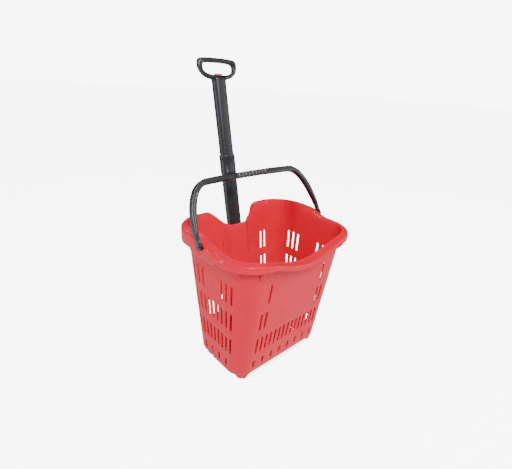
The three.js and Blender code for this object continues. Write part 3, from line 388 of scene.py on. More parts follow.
def rim_columns():
    """For each column of the plan: its crest, the outward direction, the flange's width and drop,
    and how deep and thick the skirt is there."""
    outline = len(CREST_PLAN) - len(channel_plan(CREST_REF, 0))
    rim = rounded_plan(RIM_X, RIM_Y, RIM_RADIUS, CHANNEL_MOUTH)
    columns = []
    for j, crest in enumerate(CRESTS):
        wx, wy = wall_plan(crest, 0)[j]
        if j < outline:
            out = Vector((rim[j][0] - wx, rim[j][1] - wy))
            full = out.length
            taper = smooth((abs(wx) - 50) / 46) if wy > 0 else 1.0
        else:
            before, after = CREST_PLAN[j - 1], CREST_PLAN[(j + 1) % len(CREST_PLAN)]
            out = Vector((after[1] - before[1], before[0] - after[0]))
            full, taper = 1.0, 0.0
        out.normalize()
        if j >= outline and out.y < 0:
            out = -out
        deep = crest - min(SKIRT_LOW, crest - SKIRT_MIN)
        columns.append({
            "crest": crest, "at": (wx, wy), "out": out,
            "width": lerp(0.6, full, taper), "drop": lerp(0.4, FLANGE_DROP, taper),
            "skirt": lerp(7, deep, taper), "thick": lerp(0.3, SKIRT_THICK, taper),
        })
    return columns


def roll_low(drop):
    """How far below the crest the flange's rolled edge ends."""
    return drop + 5 if drop > 4 else 3.0


def basket_profile(j, column):
    """Points of one column, from the inside of the floor over the rim to the floor's underside."""
    crest, (wx, wy), out = column["crest"], column["at"], column["out"]
    w, drop, thick = column["width"], column["drop"], column["thick"]

    def wall(inset, z):
        x, y = wall_plan(z, inset)[j]
        return (x, y, z)

    def rim(reach, below):
        return (wx + out.x * reach, wy + out.y * reach, crest - below)

    points = [wall(WALL + 5.5, FLOOR_TOP), wall(WALL + 3.2, FLOOR_TOP + 0.7),
              wall(WALL + 1.1, FLOOR_TOP + 2.6), wall(WALL, FLOOR_TOP + 6)]
    for i in range(1, LEVELS):
        points.append(wall(WALL, lerp(FLOOR_TOP + 6, crest - 2, i / LEVELS)))
    points += [wall(WALL, crest - 1.6), wall(WALL - 0.4, crest - 0.6), wall(WALL / 2, crest)]
    if w > 9:
        span = [rim(0.6, 0.15), rim(2.0, 1.1), rim(3.6, 1.9), rim(w * 0.5, lerp(1.9, drop - 2.2, 0.4)),
                rim(w - 5, drop - 2.2)]
        roll = [rim(w - 2.4, drop - 0.9), rim(w - 0.8, drop + 1.0), rim(w, drop + 3.6)]
    else:
        span = [rim(lerp(0, w * 0.4, t), 0.25 + 0.4 * t) for t in (0, 0.25, 0.5, 0.75, 1)]
        roll = [rim(w * 0.6, 0.9), rim(w * 0.85, 1.4), rim(w, 2.2)]
    points += span + roll
    skirt = column["skirt"]
    under = max(drop + 4.2, 4.6)
    points += [rim(w, lerp(roll_low(drop), skirt, 0.5)), rim(w, skirt - 0.8), rim(w - thick * 0.3, skirt),
               rim(w - thick * 0.8, skirt), rim(w - thick, skirt - 0.8)]
    inner = w - thick
    points += [rim(inner, lerp(skirt, under, 0.5)), rim(inner, under),
               rim(inner * 0.5, lerp(under, 4.6, 0.5) + 0.6), rim(min(1.0, inner * 0.25), 5.2)]
    for i in range(LEVELS + 1):
        points.append(wall(0, lerp(crest - 7.5, FLOOR_Z + 6, i / LEVELS)))
    points += [wall(0.7, FLOOR_Z + 3.0), wall(2.2, FLOOR_Z + 0.9), wall(4.8, FLOOR_Z)]
    return points


def basket_shell():
    columns = [basket_profile(j, c) for j, c in enumerate(rim_columns())]
    count = len(columns[0])
    rings = [[column[i] for column in columns] for i in range(count)]
    return loft(rings)


# ------------------------------------------------------------------ slots, webs, pockets, feet, wells

def slot(width, height, place):
    """A slot with round ends, running through along the placed frame's Y."""
    w, h = width / 2, height / 2
    outline = []
    for cz, start in ((h - w, 0), (w - h, 180)):
        for i in range(9):
            a = math.radians(start + 180 * i / 8)
            outline.append((w * math.cos(a), cz + w * math.sin(a)))
    rings = [[tuple(place @ Vector((x, y, z))) for x, z in outline] for y in (-15, 15)]
    return loft(rings)


ROWS = {"A": (280, 344), "B": (190, 252), "C": (100, 160), "D": (42, 71)}


def wall_slots():
    slots = []

    def front_or_back(sign, row_name, places):
        low, high = ROWS[row_name]
        z = (low + high) / 2
        for k in places:
            place = Matrix.Translation((k * FRONT_PITCH, sign * side_half(z), z))
            place = place @ Matrix.Rotation(-sign * math.atan(SIDE_SLOPE), 4, "X")
            slots.append(slot(FRONT_SLOT, high - low, place))

    def end(side, row_name, places):
        low, high = ROWS[row_name]
        z = (low + high) / 2
        for k in places:
            spread = 1 + END_FAN * (z - FAN_REF)
            place = Matrix.Translation((side * end_half(z), k * END_PITCH * spread, z))
            place = place @ Matrix.Rotation(math.pi / 2, 4, "Z")
            place = place @ Matrix.Rotation(math.atan(k * END_PITCH * END_FAN), 4, "Y")
            slots.append(slot(END_SLOT, high - low, place))

    every = range(-7, 8)
    front_or_back(-1, "A", (-6, 6))
    front_or_back(-1, "B", (-7, -6, 6, 7))
    front_or_back(-1, "C", every)
    front_or_back(-1, "D", [k for k in every if k % 2])
    front_or_back(1, "A", (-7, -6, 6, 7))
    front_or_back(1, "B", (-7, -6, 6, 7))
    front_or_back(1, "C", (-7, -6, -5, -4, 4, 5, 6, 7))
    front_or_back(1, "D", (-5, 5))
    for side in (-1, 1):
        end(side, "A", (-4, -3, -2, 2, 3, 4))
        end(side, "B", range(-4, 5))
        end(side, "C", range(-4, 5))
        end(side, "D", (-3, -1, 1, 3))
    for k in range(-5, 6):
        for y in FLOOR_SLOT_ROWS:
            place = Matrix.Translation((k * FLOOR_SLOT_PITCH, y, FLOOR_Z + 2))
            slots.append(slot(*FLOOR_SLOT, place @ Matrix.Rotation(math.pi / 2, 4, "X")))
    return slots


def corner_webs():
    webs = []
    radius = corner_radius(SKIRT_LOW)
    cx, cy = end_half(SKIRT_LOW) - radius, side_half(SKIRT_LOW) - radius
    wall_x = cx + math.sqrt(radius ** 2 - (WEB_Y - cy) ** 2)
    wall_y = cy + math.sqrt(radius ** 2 - (WEB_X - cx) ** 2)
    for sx in (-1, 1):
        for sy in (-1, 1):
            for turn, x, y in ((0 if sx > 0 else math.pi, sx * wall_x, sy * WEB_Y),
                               (sy * math.pi / 2, sx * WEB_X, sy * wall_y)):
                crest = crest_height(x, y)
                low = min(SKIRT_LOW, crest - SKIRT_MIN)
                outline = [(-1, crest - 3), (WEB_DEPTH, crest - 6), (WEB_DEPTH, low - 8), (-1, low - 32)]
                place = Matrix.Translation((x, y, 0)) @ Matrix.Rotation(turn, 4, "Z")
                rings = [[tuple(place @ Vector((u, v, h))) for u, h in outline] for v in (-1.3, 1.3)]
                webs.append(loft(rings))
    return webs


def envelope(heights, inset):
    return loft([[(x, y, z) for x, y in wall_plan(plan_z, inset)] for z, plan_z in heights])


def pivot_block(side):
    """The block under the flange that carries the bail's pivot."""
    inner, outer = end_half(CREST_REF) - 1.5, RIM_X - 0.4
    rings = []
    for i in range(25):
        t = i / 12 - 1
        crest = crest_height(end_half(CREST_REF), t * BLOCK_HALF)
        low = BLOCK_LOW + BLOCK_RISE * smooth((abs(t) - 0.78) / 0.22)
        ring = [(inner, low + 6), (inner, crest - 3), (outer - 4, crest - FLANGE_DROP - 1),
                (outer, crest - FLANGE_DROP - 5), (outer, low + 4), (outer - 1.2, low + 1.2),
                (outer - 4, low), (inner + 6, low)]
        rings.append([(side * x, t * BLOCK_HALF, z) for x, z in ring])
    return loft(rings)


def stop_lug(side):
    """The lug that the leaning leg rests against."""
    beside = BAIL_LEG[1] + 0.3 + STOP_RADIUS
    y = STOP_STATION * math.sin(BAIL_LEAN) + beside * math.cos(BAIL_LEAN)
    z = PIVOT_Z + STOP_STATION * math.cos(BAIL_LEAN) - beside * math.sin(BAIL_LEAN)
    profile = [(STOP_RADIUS, side * (RIM_X - 4.4)), (STOP_RADIUS, side * (PIVOT_X - 0.7)),
               (STOP_RADIUS - 0.7, side * PIVOT_X)]
    return turned(profile, 32, "X", (0, y, z), closed=False)


def front_foot(side):
    """A tapered foot across the corner."""
    turn = Matrix.Rotation(side * math.radians(45), 3, "Z")
    rings = []
    for hx, hy, r, z in ((9.5, 5.5, 2, 0), (10.6, 6.6, 2.5, 0.5), (11.4, 7.2, 3, 1.6), (13, 8.5, 4, 3.4),
                         (18, 9.7, 5, 11), (24, 11, 6, FLOOR_Z + 1)):
        ring = [turn @ Vector(p) for p in rounded_ring(hx, hy, r, 0, 3)]
        rings.append([(side * FOOT_X + p.x, FOOT_Y + p.y, z) for p in ring])
    return loft(rings)


def wheel_well(tub, side):
    """A closed well inside the wall, its space, the axle's boss and the opening round the wheel."""
    axle = (0, WHEEL_Y, WHEEL_RADIUS)
    low, high = sorted((side * WELL_IN, side * WELL_BEYOND))
    front, rear = WHEEL_Y - WELL_RADIUS, WHEEL_Y + WELL_RADIUS
    boss = rod(BOSS_RADIUS, side * (WHEEL_OUT + BOSS_GAP), side * BOSS_BEYOND, "X", axle, 40)
    lining = rod(WELL_RADIUS + WALL, side * (WELL_IN - WALL), side * WELL_BEYOND, "X", axle, 64)
    well = piece("well", lining, BASKET)
    boolean(well, envelope([(FLOOR_Z, FLOOR_Z), (WELL_TOP, WELL_TOP)], 0.2), BASKET, "INTERSECT")
    combine(tub, well)
    round_space = rod(WELL_RADIUS, side * WELL_IN, side * WELL_BEYOND, "X", axle, 64)
    space = piece("space", round_space, BASKET)
    boolean(space, block(low, high, front, rear, -5, WHEEL_RADIUS), BASKET, "UNION")
    boolean(space, envelope([(-10, 30), (30, 30), (WELL_TOP, WELL_TOP)], WELL_SKIN), BASKET, "INTERSECT")
    boolean(space, boss, BASKET, "DIFFERENCE")
    combine(tub, space, "DIFFERENCE")
    arch = piece("arch", round_space, BASKET)
    boolean(arch, block(low, high, front, rear, FLOOR_Z - 5, ARCH_TOP), BASKET, "INTERSECT")
    boolean(arch, boss, BASKET, "DIFFERENCE")
    combine(tub, arch, "DIFFERENCE")
    boolean(tub, rod(AXLE_HOLE, side * AXLE_HOLE_IN, side * AXLE_HOLE_OUT, "X", axle), BASKET, "DIFFERENCE")


def basket():
    tub = piece("basket", basket_shell(), BASKET)
    for web in corner_webs():
        boolean(tub, web, BASKET, "UNION")
    for side in (-1, 1):
        boolean(tub, pivot_block(side), BASKET, "UNION")
        boolean(tub, stop_lug(side), BASKET, "UNION")
        bottom = PIVOT_X - BAIL_LEG[0] - STUD_LENGTH - 0.3
        hole = rod(STUD_RADIUS + 0.3, side * bottom, side * PIVOT_X, "X", (0, 0, PIVOT_Z))
        boolean(tub, hole, BASKET, "DIFFERENCE")
        foot = piece("foot", front_foot(side), BASKET)
        boolean(foot, envelope([(-1, FLOOR_Z), (FLOOR_Z + 2, FLOOR_Z + 2)], 4), BASKET, "INTERSECT")
        combine(tub, foot)
        wheel_well(tub, side)
    boolean(tub, join(*wall_slots()), BASKET, "DIFFERENCE")
    for x in (-CLAMP_SCREW_X, CLAMP_SCREW_X):
        for station in CLAMP_STATIONS:
            boolean(tub, rod(2.3, -30, 40, "Y", (x, 0, station), 16), POLE, "DIFFERENCE")
    return tub


tub = basket()
bevel(tub, 0.45)
soften(tub, 32)
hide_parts("basket_tub")
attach(tub, "basket")
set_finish(tub, "basket_red")


# ------------------------------------------------------------------ bail handle

def bail_path():
    """Half of the centre line, from the pivot to the middle, as (x, height) with a tight spacing."""
    points = [(PIVOT_X, BAIL_SHOULDER * i / 10) for i in range(10)]
    a, b, c = (PIVOT_X, BAIL_SHOULDER), (PIVOT_X - BAIL_CORNER, BAIL_REACH), (BAIL_BAR_HALF, BAIL_REACH)
    for i in range(44):
        t = i / 44
        points.append(tuple((1 - t) ** 2 * a[k] + 2 * t * (1 - t) * b[k] + t * t * c[k] for k in (0, 1)))
    for i in range(103):
        t = i / 102
        points.append((BAIL_BAR_HALF * (1 - t), BAIL_REACH + BAIL_CROWN * (1 - (1 - t) ** 2)))
    return points


def bail_section(half_u, half_v, groove):
    """A rounded bar section with a groove along its front and its back."""
    r = min(half_u, half_v) * 0.42
    quarter = []
    for i in range(5):
        a = math.radians(90 * i / 4)
        quarter.append((half_u - r + r * math.cos(a), half_v - r + r * math.sin(a)))
    lip = half_u * 0.46
    quarter += [(lip, half_v), (lip - 1.2, half_v - groove * 0.7), (lip - 2.2, half_v - groove)]
    section = quarter + [(0.0, half_v - groove)]
    section += [(-u, v) for u, v in reversed(quarter)]
    lower = [(-u, -v) for u, v in quarter] + [(0.0, groove - half_v)]
    lower += [(u, -v) for u, v in reversed(quarter)]
    return section + lower


def bail():
    half = bail_path()
    path = [(-x, z) for x, z in half] + list(reversed(half[:-1]))
    rings = []
    total = len(path)
    for i, (x, z) in enumerate(path):
        b, a = path[max(i - 1, 0)], path[min(i + 1, total - 1)]
        t = Vector((a[0] - b[0], a[1] - b[1])).normalized()
        n = Vector((-t.y, t.x))
        hu = lerp(BAIL_LEG[0], BAIL_BAR[0], smooth((z - BAIL_SHOULDER) / LEG_RISE))
        hv = lerp(BAIL_LEG[1], LEG_DEPTH, smooth((z - LEG_DEPTH_FROM) / LEG_DEPTH_RISE))
        groove = GROOVE_DEPTH * (1 - smooth((z - GROOVE_FADE_FROM) / GROOVE_FADE))
        if z > BAIL_REACH and abs(x) < RIB_HALF:
            wave = 0.5 - 0.5 * math.cos(2 * math.pi * x / RIB_PITCH)
            fade = smooth((RIB_HALF - abs(x)) / 8)
            hu -= RIB_DEPTH * fade * (1 - wave)
            hv -= RIB_DEPTH * fade * (1 - wave)
        if z < EYE_RADIUS:
            hv = max(hv, math.sqrt(max(EYE_RADIUS ** 2 - z * z, 0)))
        groove *= smooth((z - 4) / 12)
        rings.append([(x + n.x * u, -v, z + n.y * u) for u, v in bail_section(hu, hv, groove)])
    ends = []
    for side in (0, -1):
        x, z = path[side]
        extra = []
        for d in (2, 4, 6, 7.6, 8.8, 9.6):
            hv = math.sqrt(EYE_RADIUS ** 2 - d * d)
            sign = 1 if side == 0 else -1
            hu = BAIL_LEG[0] - (0.5 if d > 9 else 0)
            extra.append([(x + sign * u, -v, z - d) for u, v in bail_section(hu, hv, 0)])
        ends.append(extra)
    rings = list(reversed(ends[0])) + rings + ends[1]
    shape = [loft(rings)]
    for side in (-1, 1):
        low, high = sorted((side * (PIVOT_X - BAIL_LEG[0] - STUD_LENGTH), side * (PIVOT_X - 1)))
        shape.append(rod(STUD_RADIUS, low, high, "X", (0, 0, 0), 32, 0.5))
    return piece("bail", join(*shape), BAIL, 34)


bail_piece = bail()
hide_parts("bail_handle")
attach(bail_piece, "bail")
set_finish(bail_piece, "handle_black")


# ------------------------------------------------------------------ pull handle

def pole_piece(name, data, node, body, slot_name):
    obj = piece(name, data, POLE, 34)
    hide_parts(node)
    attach(obj, body)
    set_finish(obj, slot_name)


pole_piece("sleeve", tube(SLEEVE_HALF, SLEEVE_WALL, *SLEEVE_ENDS, SLEEVE_ROUND),
           "pole_sleeve", "basket", "pole_black")
pole_piece("middle_tube", tube(MID_HALF, TUBE_WALL, *MID_ENDS, MID_ROUND),
           "mid_tube", "mid_stage", "pole_black")


def collar():
    """The collar outside the middle tube: a thick lip at its top and a bead at its foot."""
    hx, hy = COLLAR_HALF
    outline = [(0.7, 171.4), (0.2, 172), (0.0, 173), (0.0, 176.5), (0.35, 177.4), (0.35, 219.5), (0.0, 220.4),
               (0.0, 227.4), (0.4, 228.3), (1.8, 228.5), (2.6, 228.3), (2.85, 227.4), (2.85, 226.4),
               (0.9, 226.4), (0.9, 171.4)]
    rings = [rounded_ring(hx - inset, hy - inset, COLLAR_ROUND - inset, z) for inset, z in outline]
    return loft(rings, closed=True)


pole_piece("collar", collar(), "mid_collar", "mid_stage", "pole_black")
pole_piece("upper_tube", tube(TOP_HALF, TUBE_WALL, *TOP_ENDS, TOP_ROUND),
           "top_tube", "top_stage", "pole_black")


def ring_outline(half_width, low, high, base_half, radius):
    """A flat triangle, point down and well rounded, as a closed list of (x, station)."""
    shoulder = high - radius
    w, edge = half_width, half_width - radius
    spans = [
        ((base_half, low), (w * 0.72, low + 2), (w, shoulder - radius), (w, shoulder)),
        ((w, shoulder), (w, high - 3), (w - 6, high - 1), (edge, high)),
        ((edge, high), (w * 0.3, high + 2), (-w * 0.3, high + 2), (-edge, high)),
        ((-edge, high), (6 - w, high - 1), (-w, high - 3), (-w, shoulder)),
        ((-w, shoulder), (-w, shoulder - radius), (-w * 0.72, low + 2), (-base_half, low)),
        ((-base_half, low), (-base_half / 3, low), (base_half / 3, low), (base_half, low)),
    ]
    points = []
    for (p, a, b, q), steps in zip(spans, (16, 12, 24, 12, 16, 12)):
        for i in range(steps):
            t = i / steps
            points.append(tuple((1 - t) ** 3 * p[k] + 3 * t * (1 - t) ** 2 * a[k]
                                + 3 * t * t * (1 - t) * b[k] + t ** 3 * q[k] for k in (0, 1)))
    return points


def ring_handle():
    outer = ring_outline(71, 452, 511.5, 22, 20)
    inner = ring_outline(55, 465, 498.5, 17, 14)
    power = 0.72                    # below 1 makes the round section squarer
    rings = []
    for (ox, oz), (ix, iz) in zip(outer, inner):
        o, i = Vector((ox, oz)), Vector((ix, iz))
        middle = (o + i) / 2
        across = (o - i) / 2
        ring = []
        for k in range(20):
            a = 2 * math.pi * k / 20
            c, s = math.cos(a), math.sin(a)
            u = math.copysign(abs(c) ** power, c)
            v = math.copysign(abs(s) ** power, s)
            p = middle + across * u
            ring.append((p.x, v * RING_HALF, p.y))
        rings.append(ring)
    shape = piece("ring", loft(rings, closed=True), POLE)
    neck = loft([rounded_ring(22.5, 17.0, 14.5, 451.3), rounded_ring(22.5, 17.0, 14.5, 453.4),
                 rounded_ring(22.6, 16.2, 14, 455.2), rounded_ring(24.0, 12.2, 11, 459.6),
                 rounded_ring(24.2, 8.2, 7, 463)])
    boolean(shape, neck, POLE, "UNION")
    shank = loft([rounded_ring(19.9, 14.4, 12, z) for z in (423, 453)])
    boolean(shape, shank, POLE, "UNION")
    button_hole = loft([rounded_ring(14.5, 5.5, 3, z) for z in (453.5, 474)])
    boolean(shape, button_hole, POLE, "DIFFERENCE")
    boolean(shape, rod(6.2, 449, 460, "Z"), POLE, "DIFFERENCE")
    boolean(shape, rod(3.9, 410, 460, "Z"), POLE, "DIFFERENCE")
    boolean(shape, rod(1.9, 9, 40, "Y", (0, 0, RING_SCREW_AT)), POLE, "DIFFERENCE")
    bevel(shape, 0.6, 3)
    soften(shape, 40)
    return shape


ring_piece = ring_handle()
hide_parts("ring_handle")
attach(ring_piece, "top_stage")
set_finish(ring_piece, "handle_black")


def button():
    rings = []
    for inset, z in ((0.6, 459), (0, 459.6), (0, 466.6), (0.35, 468), (1.3, 469.2), (3.2, 469.8), (6, 470)):
        hx, hy = BUTTON_HALF[0] - inset * 1.6, BUTTON_HALF[1] - inset * 0.6
        rings.append(rounded_ring(hx, max(hy, 1.2), max(2.6 - inset * 0.3, 0.8), z, 6))
    return join(loft(rings), rod(BUTTON_STEM, 440, 460, "Z", (0, 0, 0), 32, 0.3))


pole_piece("button", button(), "release_button", "release", "button_red")


# ------------------------------------------------------------------ wheels

def tyre():
    w, r = WHEEL_WIDTH / 2, WHEEL_RADIUS
    half = [(r - 8, 1 - w), (r - 6, 0.35 - w), (r - 4, -w), (r - 2.2, 0.5 - w), (r - 1, 1.9 - w),
            (r - 0.25, 3.8 - w), (r, 6 - w), (r, -2.6), (r - 1.1, -2.1), (r - 1.1, -0.9), (r, -0.4)]
    return turned(half + [(a, -b) for a, b in reversed(half)], 120)


def hub():
    w = WHEEL_WIDTH / 2
    rim = WHEEL_RADIUS - 8.3
    half = [(6.4, 0.4 - w), (6.8, -w), (9.6, -w), (10, 0.4 - w), (10.4, -3.6), (11.2, -3),
            (rim - 4.6, -3), (rim - 4, -3.6), (rim - 3.8, 2 - w), (rim - 3.3, 1.5 - w),
            (rim - 0.4, 1.5 - w), (rim, 2 - w)]
    return turned(half + [(a, -b) for a, b in reversed(half)], 96)


for side, label in ((-1, "left"), (1, "right")):
    centre = BASKET @ Matrix.Translation((side * (WHEEL_OUT - WHEEL_WIDTH / 2), WHEEL_Y, WHEEL_RADIUS))
    body = "wheel_" + label
    tyre_piece = piece("tyre_" + label, tyre(), centre, 34)
    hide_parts("wheel_tyre_" + label)
    hub_piece = piece("hub_" + label, hub(), centre, 34)
    holes = []
    for i in range(HUB_HOLES):
        a = 2 * math.pi * i / HUB_HOLES
        at = (0, HUB_HOLE_CIRCLE * math.cos(a), HUB_HOLE_CIRCLE * math.sin(a))
        holes.append(rod(HUB_HOLE, -8, 8, "X", at, 24))
    boolean(hub_piece, join(*holes), centre, "DIFFERENCE")
    bevel(hub_piece, 0.25)
    soften(hub_piece, 34)
    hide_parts("wheel_hub_" + label)
    for obj, slot_name in ((tyre_piece, "tyre_grey"), (hub_piece, "hub_grey")):
        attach(obj, body)
        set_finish(obj, slot_name)


# ------------------------------------------------------------------ fasteners

def pan_head(radius, height, shank_radius, shank):
    """A domed screw head, its height along +Y and its shank along -Y."""
    profile = [(shank_radius, -shank), (shank_radius, 0.01), (radius - 0.3, 0.0), (radius, 0.35),
               (radius * 0.93, height * 0.62), (radius * 0.68, height * 0.9), (radius * 0.3, height)]
    return turned(profile, 40, "Y", closed=False)


def screw(node, body, place, sizes, slot_name):
    radius, height, shank_radius, shank = sizes
    obj = piece("fixing_" + node, pan_head(radius, height, shank_radius, shank), place)
    for a, b in ((radius * 0.55, radius * 0.13), (radius * 0.13, radius * 0.55)):
        boolean(obj, block(-a, a, height * 0.45, height + 1, -b, b), place, "DIFFERENCE")
    soften(obj, 34)
    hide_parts(node)
    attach(obj, body)
    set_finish(obj, slot_name)


for station, level in zip(CLAMP_STATIONS, ("upper", "lower")):
    z = POLE_Z + station * math.cos(POLE_TILT)
    plane = (side_half(z) - pole_axis_y(z)) * math.cos(POLE_TILT)
    for x, label in ((-CLAMP_SCREW_X, "left"), (CLAMP_SCREW_X, "right")):
        place = POLE @ Matrix.Translation((x, plane + 4.3, station))
        screw("clamp_screw_" + level + "_" + label, "basket", place, CLAMP_SCREW, "steel")
place = POLE @ Matrix.Translation((0, TOP_HALF[1] + 0.3, RING_SCREW_AT))
screw("ring_screw", "top_stage", place, RING_SCREW, "steel")
for side, label in ((-1, "left"), (1, "right")):
    place = POLE @ Matrix.Translation((side * (COLLAR_HALF[0] + 0.15), RIVET_Y, RIVET_AT))
    place = place @ Matrix.Rotation(-side * math.pi / 2, 4, "Z")
    screw("collar_rivet_" + label, "mid_stage", place, RIVET, "rivet_grey")

for name in ("upper_clamp", "lower_clamp", "axle_cap_left", "axle_cap_right", "wheel_axle_left",
             "wheel_axle_right", "wheel_bush_left", "wheel_bush_right", "sleeve_end_plug",
             "mid_stage_plug", "top_stage_plug", "push_rod", "latch_pin_left", "latch_pin_right"):
    edge = nodes[name].modifiers.new("edges", "BEVEL")
    edge.width = 0.4 * MM
    edge.segments = 2
    edge.limit_method = "ANGLE"
    edge.angle_limit = math.radians(40)
    soften(nodes[name], 34)
for name in ("latch_spring", "button_spring"):
    nodes[name].data.polygons.foreach_set("use_smooth", [True] * len(nodes[name].data.polygons))


# ------------------------------------------------------------------ materials

def material(name, color, roughness, build, **inputs):
    mat = bpy.data.materials.new(name)
    mat.use_nodes = True
    tree = mat.node_tree
    shader = tree.nodes["Principled BSDF"]
    shader.inputs["Base Color"].default_value = (*color, 1)
    shader.inputs["Roughness"].default_value = roughness
    for key, value in inputs.items():
        shader.inputs[key.replace("_", " ")].default_value = value
    build(tree, shader)
    return mat


def noise(tree, scale, detail):
    node = tree.nodes.new("ShaderNodeTexNoise")
    coords = tree.nodes.new("ShaderNodeTexCoord")
    tree.links.new(coords.outputs["Object"], node.inputs["Vector"])
    node.inputs["Scale"].default_value = scale
    node.inputs["Detail"].default_value = detail
    node.inputs["Roughness"].default_value = 0.5
    return node.outputs["Fac"]


def spread(tree, value, low, high):
    node = tree.nodes.new("ShaderNodeMapRange")
    node.inputs["From Min"].default_value = 0.3
    node.inputs["From Max"].default_value = 0.7
    node.inputs["To Min"].default_value = low
    node.inputs["To Max"].default_value = high
    tree.links.new(value, node.inputs["Value"])
    return node.outputs["Result"]


def mix(tree, factor, a, b):
    node = tree.nodes.new("ShaderNodeMix")
    node.data_type = "RGBA"
    tree.links.new(factor, node.inputs["Factor"])
    for index, value in ((6, a), (7, b)):
        node.inputs[index].default_value = (*value, 1)
    return node.outputs[2]


def bump(tree, shader, height, strength, distance):
    node = tree.nodes.new("ShaderNodeBump")
    node.inputs["Strength"].default_value = strength
    node.inputs["Distance"].default_value = distance
    tree.links.new(height, node.inputs["Height"])
    tree.links.new(node.outputs["Normal"], shader.inputs["Normal"])


def moulded(dark, light, low, high, grain=900.0, strength=0.12):
    """Moulded plastic: faint flow marks in the colour, uneven gloss and a fine grain."""
    def build(tree, shader):
        flow = noise(tree, 14.0, 3.0)
        tree.links.new(mix(tree, spread(tree, flow, 0, 1), dark, light), shader.inputs["Base Color"])
        tree.links.new(spread(tree, noise(tree, 60.0, 4.0), low, high), shader.inputs["Roughness"])
        bump(tree, shader, noise(tree, grain, 2.0), strength, 0.0002)
    return build


def zinc(tree, shader):
    grain = spread(tree, noise(tree, 400.0, 4.0), 0, 1)
    tree.links.new(mix(tree, grain, (0.5, 0.51, 0.52), (0.68, 0.69, 0.7)), shader.inputs["Base Color"])
    tree.links.new(spread(tree, noise(tree, 900.0, 3.0), 0.22, 0.4), shader.inputs["Roughness"])


MATERIALS = {
    "basket_red": material("basket_red", (0.8, 0.0, 0.03), 0.4,
                           moulded((0.77, 0.0, 0.027), (0.83, 0.0, 0.034), 0.34, 0.46),
                           Specular_IOR_Level=0.12, Coat_Weight=0.32, Coat_Roughness=0.08),
    "handle_black": material("handle_black", (0.006, 0.007, 0.009), 0.4,
                             moulded((0.005, 0.006, 0.008), (0.009, 0.010, 0.012), 0.3, 0.42, 1400.0, 0.12),
                             Coat_Weight=0.3, Coat_Roughness=0.1),
    "pole_black": material("pole_black", (0.012, 0.014, 0.019), 0.42,
                           moulded((0.010, 0.012, 0.016), (0.014, 0.016, 0.022), 0.38, 0.46, 900.0, 0.02)),
    "inner_grey": material("inner_grey", (0.2, 0.21, 0.22), 0.5,
                           moulded((0.18, 0.19, 0.2), (0.25, 0.26, 0.27), 0.42, 0.55)),
    "rivet_grey": material("rivet_grey", (0.05, 0.055, 0.06), 0.4,
                           moulded((0.03, 0.032, 0.036), (0.05, 0.052, 0.056), 0.35, 0.5)),
    "button_red": material("button_red", (0.8, 0.06, 0.13), 0.35,
                           moulded((0.75, 0.05, 0.12), (0.85, 0.08, 0.16), 0.3, 0.4)),
    "steel": material("steel", (0.6, 0.61, 0.62), 0.3, zinc, Metallic=1.0),
    "tyre_grey": material("tyre_grey", (0.05, 0.055, 0.06), 0.6,
                          moulded((0.04, 0.044, 0.048), (0.07, 0.075, 0.08), 0.5, 0.7, 700.0, 0.4)),
    "hub_grey": material("hub_grey", (0.25, 0.26, 0.27), 0.45,
                         moulded((0.22, 0.23, 0.24), (0.3, 0.31, 0.32), 0.4, 0.52)),
}
SLOT_OF = {s["node"]: s["material_slot"] for s in frame["record"]["subparts"]}


def paint(obj, slot_name):
    obj.data.materials.clear()
    obj.data.materials.append(MATERIALS[slot_name])


for name, obj in nodes.items():
    for s in obj.material_slots:
        s.material = MATERIALS[SLOT_OF[name]]
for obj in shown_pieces():
    if obj.name not in nodes:
        paint(obj, obj.get("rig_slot", "handle_black"))


# ------------------------------------------------------------------ floor, light, camera

floor = bpy.data.objects.new("floor", bpy.data.meshes.new("floor"))
corners = [(x, y, -0.0005) for x, y in ((-30, -30), (30, -30), (30, 30), (-30, 30))]
floor.data.from_pydata(corners, [], [(0, 1, 2, 3)])
bpy.context.scene.collection.objects.link(floor)


def white_to_camera(tree, strength_input, seen, lit):
    """Strength of a plain white source: one value as the picture's ground, another as a light."""
    path = tree.nodes.new("ShaderNodeLightPath")
    blend = tree.nodes.new("ShaderNodeMix")
    blend.inputs[2].default_value = lit
    blend.inputs[3].default_value = seen
    tree.links.new(path.outputs["Is Camera Ray"], blend.inputs[0])
    tree.links.new(blend.outputs[0], strength_input)


def painted_shade_below(tree, half_x, half_y, edge):
    """1 in the middle of the basket's footprint on the floor, falling to 0 at its edge: the mask of the shade
    painted under the basket.
    """
    coords = tree.nodes.new("ShaderNodeTexCoord")
    split = tree.nodes.new("ShaderNodeSeparateXYZ")
    tree.links.new(coords.outputs["Object"], split.inputs["Vector"])
    fall = []
    for axis, middle, half in (("X", 0.0, half_x), ("Y", SHIFT_Y * MM, half_y)):
        offset = tree.nodes.new("ShaderNodeMath")
        offset.operation = "SUBTRACT"
        offset.inputs[1].default_value = middle
        tree.links.new(split.outputs[axis], offset.inputs[0])
        distance = tree.nodes.new("ShaderNodeMath")
        distance.operation = "ABSOLUTE"
        tree.links.new(offset.outputs[0], distance.inputs[0])
        ramp = tree.nodes.new("ShaderNodeMapRange")
        ramp.interpolation_type = "SMOOTHSTEP"
        ramp.inputs["From Min"].default_value = half - edge
        ramp.inputs["From Max"].default_value = half
        ramp.inputs["To Min"].default_value = 1.0
        ramp.inputs["To Max"].default_value = 0.0
        tree.links.new(distance.outputs[0], ramp.inputs["Value"])
        fall.append(ramp.outputs["Result"])
    both = tree.nodes.new("ShaderNodeMath")
    both.operation = "MULTIPLY"
    tree.links.new(fall[0], both.inputs[0])
    tree.links.new(fall[1], both.inputs[1])
    return both.outputs[0]


def pale(tree, shader):
    """Pale ground, with the basket's shade painted dark into its glow beneath the basket's floor."""
    # painted shade: the floor's glow turns near black inside the basket's footprint, where the basket's
    # shadow would fall
    glow_with_painted_shade = mix(tree, painted_shade_below(tree, 0.17, 0.115, 0.045), (1.0, 1.0, 1.0), (0.02, 0.012, 0.012))
    tree.links.new(glow_with_painted_shade, shader.inputs["Emission Color"])
    white_to_camera(tree, shader.inputs["Emission Strength"], 7.0, 0.0)


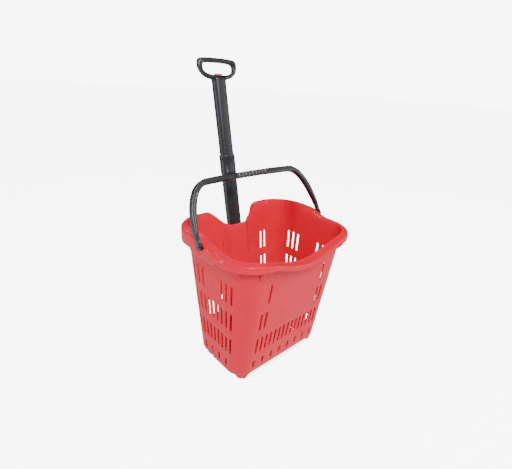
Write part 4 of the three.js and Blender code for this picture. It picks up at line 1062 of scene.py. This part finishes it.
floor.data.materials.append(material("floor", (0.9, 0.9, 0.9), 0.9, pale))

world = bpy.data.worlds.new("studio")
bpy.context.scene.world = world
world.use_nodes = True
ground = world.node_tree.nodes["Background"]
ground.inputs["Color"].default_value = (1, 1, 1, 1)
white_to_camera(world.node_tree, ground.inputs["Strength"], 8.0, 0.22)


def area(name, at, toward, size, power):
    data = bpy.data.lights.new(name, "AREA")
    data.shape = "RECTANGLE"
    data.size, data.size_y = size
    data.energy = power
    obj = bpy.data.objects.new(name, data)
    obj.location = at
    obj.rotation_mode = "QUATERNION"
    obj.rotation_quaternion = (Vector(toward) - Vector(at)).to_track_quat("-Z", "Y")
    bpy.context.scene.collection.objects.link(obj)


area("key", (-1.1, -1.7, 2.2), (0, 0, 0.3), (0.7, 0.7), 66)
area("overhead", (0.5, -1.6, 2.4), (0, 0, 0.3), (0.6, 0.6), 24)
area("fill", (2.2, -1.5, 1.2), (0, 0, 0.3), (1.2, 1.2), 20)
area("rear", (0.4, 2.2, 2.4), (0, 0, 0.4), (1.2, 1.2), 10)
area("left strip", (-1.7, 0.9, 0.8), (0, 0.1, 0.5), (0.18, 1.8), 18)

CAMERA_AT = (-688.6, -692.1, 832.3)                 # in the basket's own frame
YAW, PITCH, ROLL, LENS = -42.93, 23.55, 3.447, 24.65
camera = bpy.data.objects.new("camera", bpy.data.cameras.new("camera"))
bpy.context.scene.collection.objects.link(camera)
bpy.context.scene.camera = camera
a, e, r = (math.radians(v) for v in (YAW, PITCH, ROLL))
back = Vector((math.sin(a) * math.cos(e), -math.cos(a) * math.cos(e), math.sin(e)))
right = Vector((math.cos(a), math.sin(a), 0))
up = back.cross(right)
rolled_right = right * math.cos(r) + up * math.sin(r)
rolled_up = -right * math.sin(r) + up * math.cos(r)
camera.matrix_world = Matrix.Translation(row(*CAMERA_AT)) @ Matrix((
    (rolled_right.x, rolled_up.x, back.x), (rolled_right.y, rolled_up.y, back.y),
    (rolled_right.z, rolled_up.z, back.z))).to_4x4()
camera.data.sensor_width = 36
camera.data.lens = LENS
camera.data.clip_start, camera.data.clip_end = 0.01, 100
